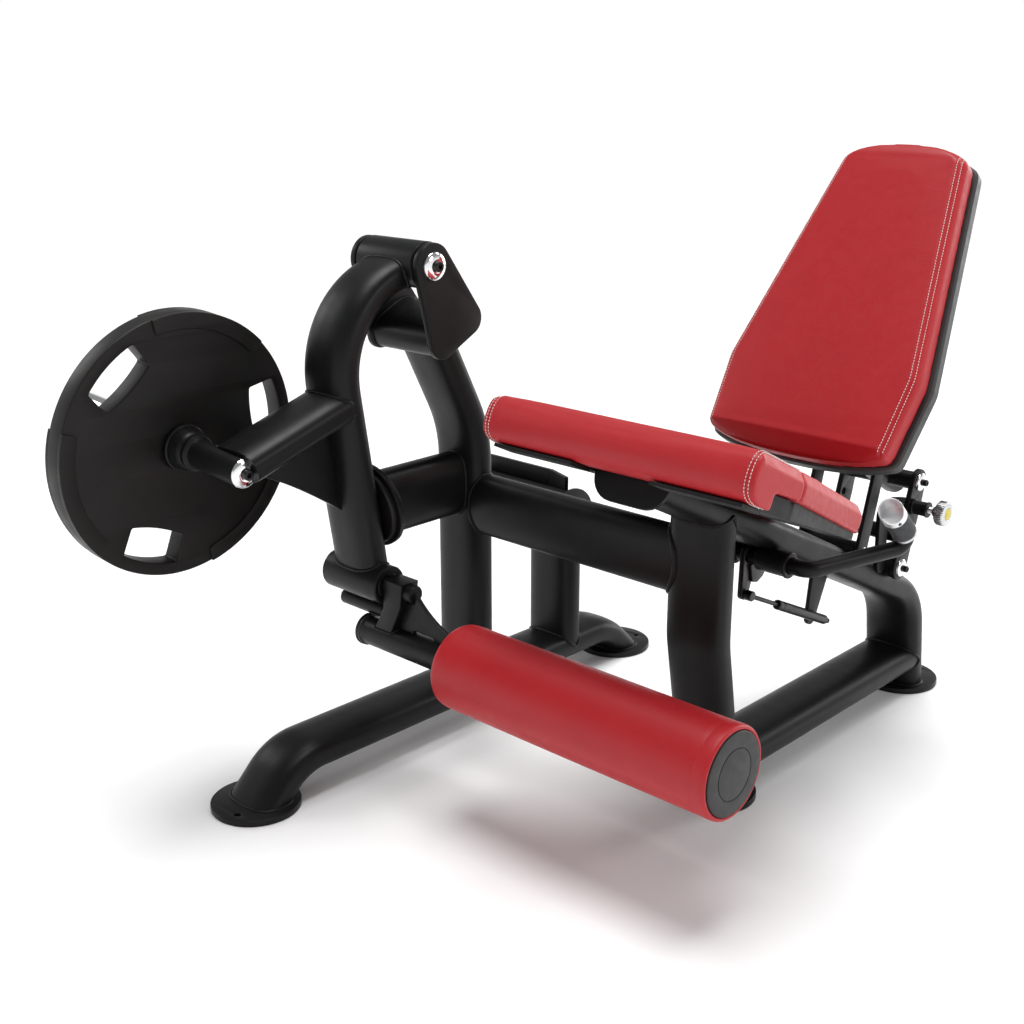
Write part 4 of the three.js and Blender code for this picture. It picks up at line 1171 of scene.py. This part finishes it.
def collar(name, foot, way):
    """The polished end piece of a grip: a sleeve cut off at a slant, with a set screw."""
    side_way = np.array([1.0, 0, 0]) * way
    third = np.cross(GRIP_LEAN, side_way)
    angles = np.linspace(0, 2 * math.pi, 72, endpoint=False)
    slant = lambda low, high: low + (high - low) * (0.5 - 0.5 * np.cos(angles + rad(49.5) * way))
    circle = np.cos(angles)[:, None] * side_way + np.sin(angles)[:, None] * third
    rows = [(14.3, 98, 98), (20.8, 98, 98), (21.4, 98.8, 98.8), (21.4, 110, 127), (20.8, 110.8, 127.8),
            (19.6, 110.8, 127.8), (19.0, 110, 127), (18.6, 103, 103), (0.02, 102, 102)]
    rings = [foot + slant(low, high)[:, None] * GRIP_LEAN + r * circle for r, low, high in rows]
    obj = piece(mesh_of(*skin(np.array(rings))), name, "handles", COLLAR, sharp=35)
    mend(obj)
    out = side_way * 0.8 - third * way * 0.6
    out /= np.linalg.norm(out)
    screw = [(0, 0), (2.8, 0), (2.8, 1.2), (1.5, 1.5), (0, 0.8)]
    at = foot + GRIP_LEAN * 104 + out * 21.1
    turned(name + "_screw", screw, at, "handles", STEEL, (), out, 0.2, 20)


def damper():
    lever = hull((*HANDLE, 21), (*LEVER_END, 10))
    plate("lever", [lever, ring_of(*HANDLE, 14.2)], -5, 5, "handles", STEEL, "damper_lever", 1.2)
    flap = [(648, 410), (700, 404), (697, 392), (686, 379), (670, 372), (655, 376)]
    plate("lever_flap", [[tuple(p) for p in even(flap, 80, 8)]], 5.3, 10.2, "handles", STEEL, (), 1.2)
    turned("lever_stud", [(0, 0), (4, 0), (4, 6), (0, 6)], (0, *LEVER_END), "handles", STEEL, soft=0.4)
    start = np.array([15.0, *LEVER_END])
    way = np.array([15.0, *DAMPER_TAIL]) - start
    length = np.linalg.norm(way)
    way /= length
    tail = length + 44
    barrel = [(4.6, 95), (7.5, 95), (9, 97), (9, 108), (8.2, 110), (9, 112), (9, tail - 17)]
    barrel += [(7.6, tail - 13), (3, tail - 11), (3, tail - 7), (5, tail - 4.5), (5, tail - 1.5), (3, tail)]
    barrel += [(0, tail), (0, tail - 14), (4.6, tail - 14)]
    body = "damper_barrel"
    turned("damper_barrel_tube", barrel, start, body, STEEL, "damper_cylinder", way, 0.5, closed=True)
    turned("damper_trunnion", [(0, 5), (5, 5), (5, 9), (0, 9)], (0, *DAMPER_TAIL), body, STEEL, soft=0.3)
    rod = [(0, 5), (4, 5), (4, 205), (0, 205)]
    turned("damper_piston_rod", rod, start, "damper_piston", STEEL, "damper_rod", way, 0.4)
    eye = [(0, 7), (8, 7), (9, 8), (9, 20), (8, 21), (0, 21)]
    turned("damper_eye", eye, (0, *LEVER_END), "damper_piston", STEEL)


def tab():
    y, z = DAMPER_TAIL
    outline = [on_rail(28, -24), (y - 15, z + 2)] + arc(y, z - 2, 15, 175, 350, 12)
    outline += [(y + 15, z - 4), on_rail(86, -24)]
    plate("damper_hanger", [outline], -4, 4, "frame", PAINT, "damper_tab", 1.3)


def cad_finish():
    """CAD nodes that are shown as they are, with their edges softened."""
    kept = {
        PAINT: ("storage_bracket", "rail_end_plate", "rear_pivot_tube", "front_arm_pivot_tube",
                "index_plate", "back_carrier", "back_bracket"),
        TRAY: ("seat_tray_left", "seat_tray_right"),
    }
    for material, names in kept.items():
        for name in names:
            obj = bpy.data.objects[name]
            obj.data.materials.clear()
            obj.data.materials.append(material)
            join = obj.modifiers.new("join", "WELD")
            join.merge_threshold = 0.00002
            edge = obj.modifiers.new("edge", "BEVEL")
            edge.width, edge.segments, edge.limit_method, edge.angle_limit = 0.0012, 2, "ANGLE", rad(35)
            edge.harden_normals = False


# ---- studio ----------------------------------------------------------------------------------------------


SKY = 0.28
LAMPS = [
    ("overhead", "SUN", (-0.25, 0.25, 3.0), (0, 0, 0), 34, 2.65),
    ("left", "AREA", (-3.4, -1.2, 2.4), (0, 0, 0.5), 1.4, 22),
    ("right", "AREA", (3.2, 0.8, 2.2), (0.2, 0, 0.5), 1.2, 18),
    ("back", "AREA", (0.8, 5.2, 1.6), (0, 0, 0.6), 2.6, 60),
    ("high", "AREA", (1.6, 3.7, 3.6), (0, 0.2, 0.6), 1.5, 30),
]


def studio():
    floor = bpy.data.meshes.new("floor")
    floor.from_pydata([(-30, -30, 0), (30, -30, 0), (30, 30, 0), (-30, 30, 0)], [], [(0, 1, 2, 3)])
    floor.materials.append(WHITE_FLOOR)
    ground = bpy.data.objects.new("floor", floor)
    SCENE.collection.objects.link(ground)
    sky = bpy.data.worlds.new("studio")
    sky.use_nodes = True
    tree = sky.node_tree
    shade = tree.nodes["Background"]
    spot = tree.nodes.new("ShaderNodeTexCoord")
    split = tree.nodes.new("ShaderNodeSeparateXYZ")
    ramp = tree.nodes.new("ShaderNodeValToRGB")
    tree.links.new(spot.outputs["Generated"], split.inputs["Vector"])
    tree.links.new(split.outputs["Z"], ramp.inputs["Fac"])
    tree.links.new(ramp.outputs["Color"], shade.inputs["Color"])
    stops = [(0.0, 1.0), (0.12, 1.0), (0.35, SKY), (1.0, SKY)]
    while len(ramp.color_ramp.elements) < len(stops):
        ramp.color_ramp.elements.new(0.5)
    for element, (at, level) in zip(ramp.color_ramp.elements, stops):
        element.position = at
        element.color = (level, level, level, 1)
    SCENE.world = sky
    for name, kind, at, to, size, power in LAMPS:
        lamp = bpy.data.lights.new(name, kind)
        lamp.energy = power
        if kind == "SUN":
            lamp.angle = rad(size)
        else:
            lamp.shape, lamp.size = "DISK", size
        obj = bpy.data.objects.new(name, lamp)
        obj.location = at
        obj.rotation_euler = (Vector(to) - Vector(at)).to_track_quat("-Z", "Y").to_euler()
        SCENE.collection.objects.link(obj)
    lens = bpy.data.cameras.new("camera")
    lens.sensor_width, lens.lens, lens.clip_end = 36, 49.35, 100
    camera = bpy.data.objects.new("camera", lens)
    camera.location = ORIGIN + np.array([1.2593, -1.2681, 1.225])
    camera.rotation_euler = (rad(72.24), 0, rad(43.37))
    SCENE.collection.objects.link(camera)
    SCENE.camera = camera
    SCENE.view_settings.view_transform = "Standard"


base()
clevis()
stop()
swing_arm()
horn()
weight()
carriage()
roller()
backrest()
seat()
links()
handles()
damper()
tab()
cad_finish()
studio()
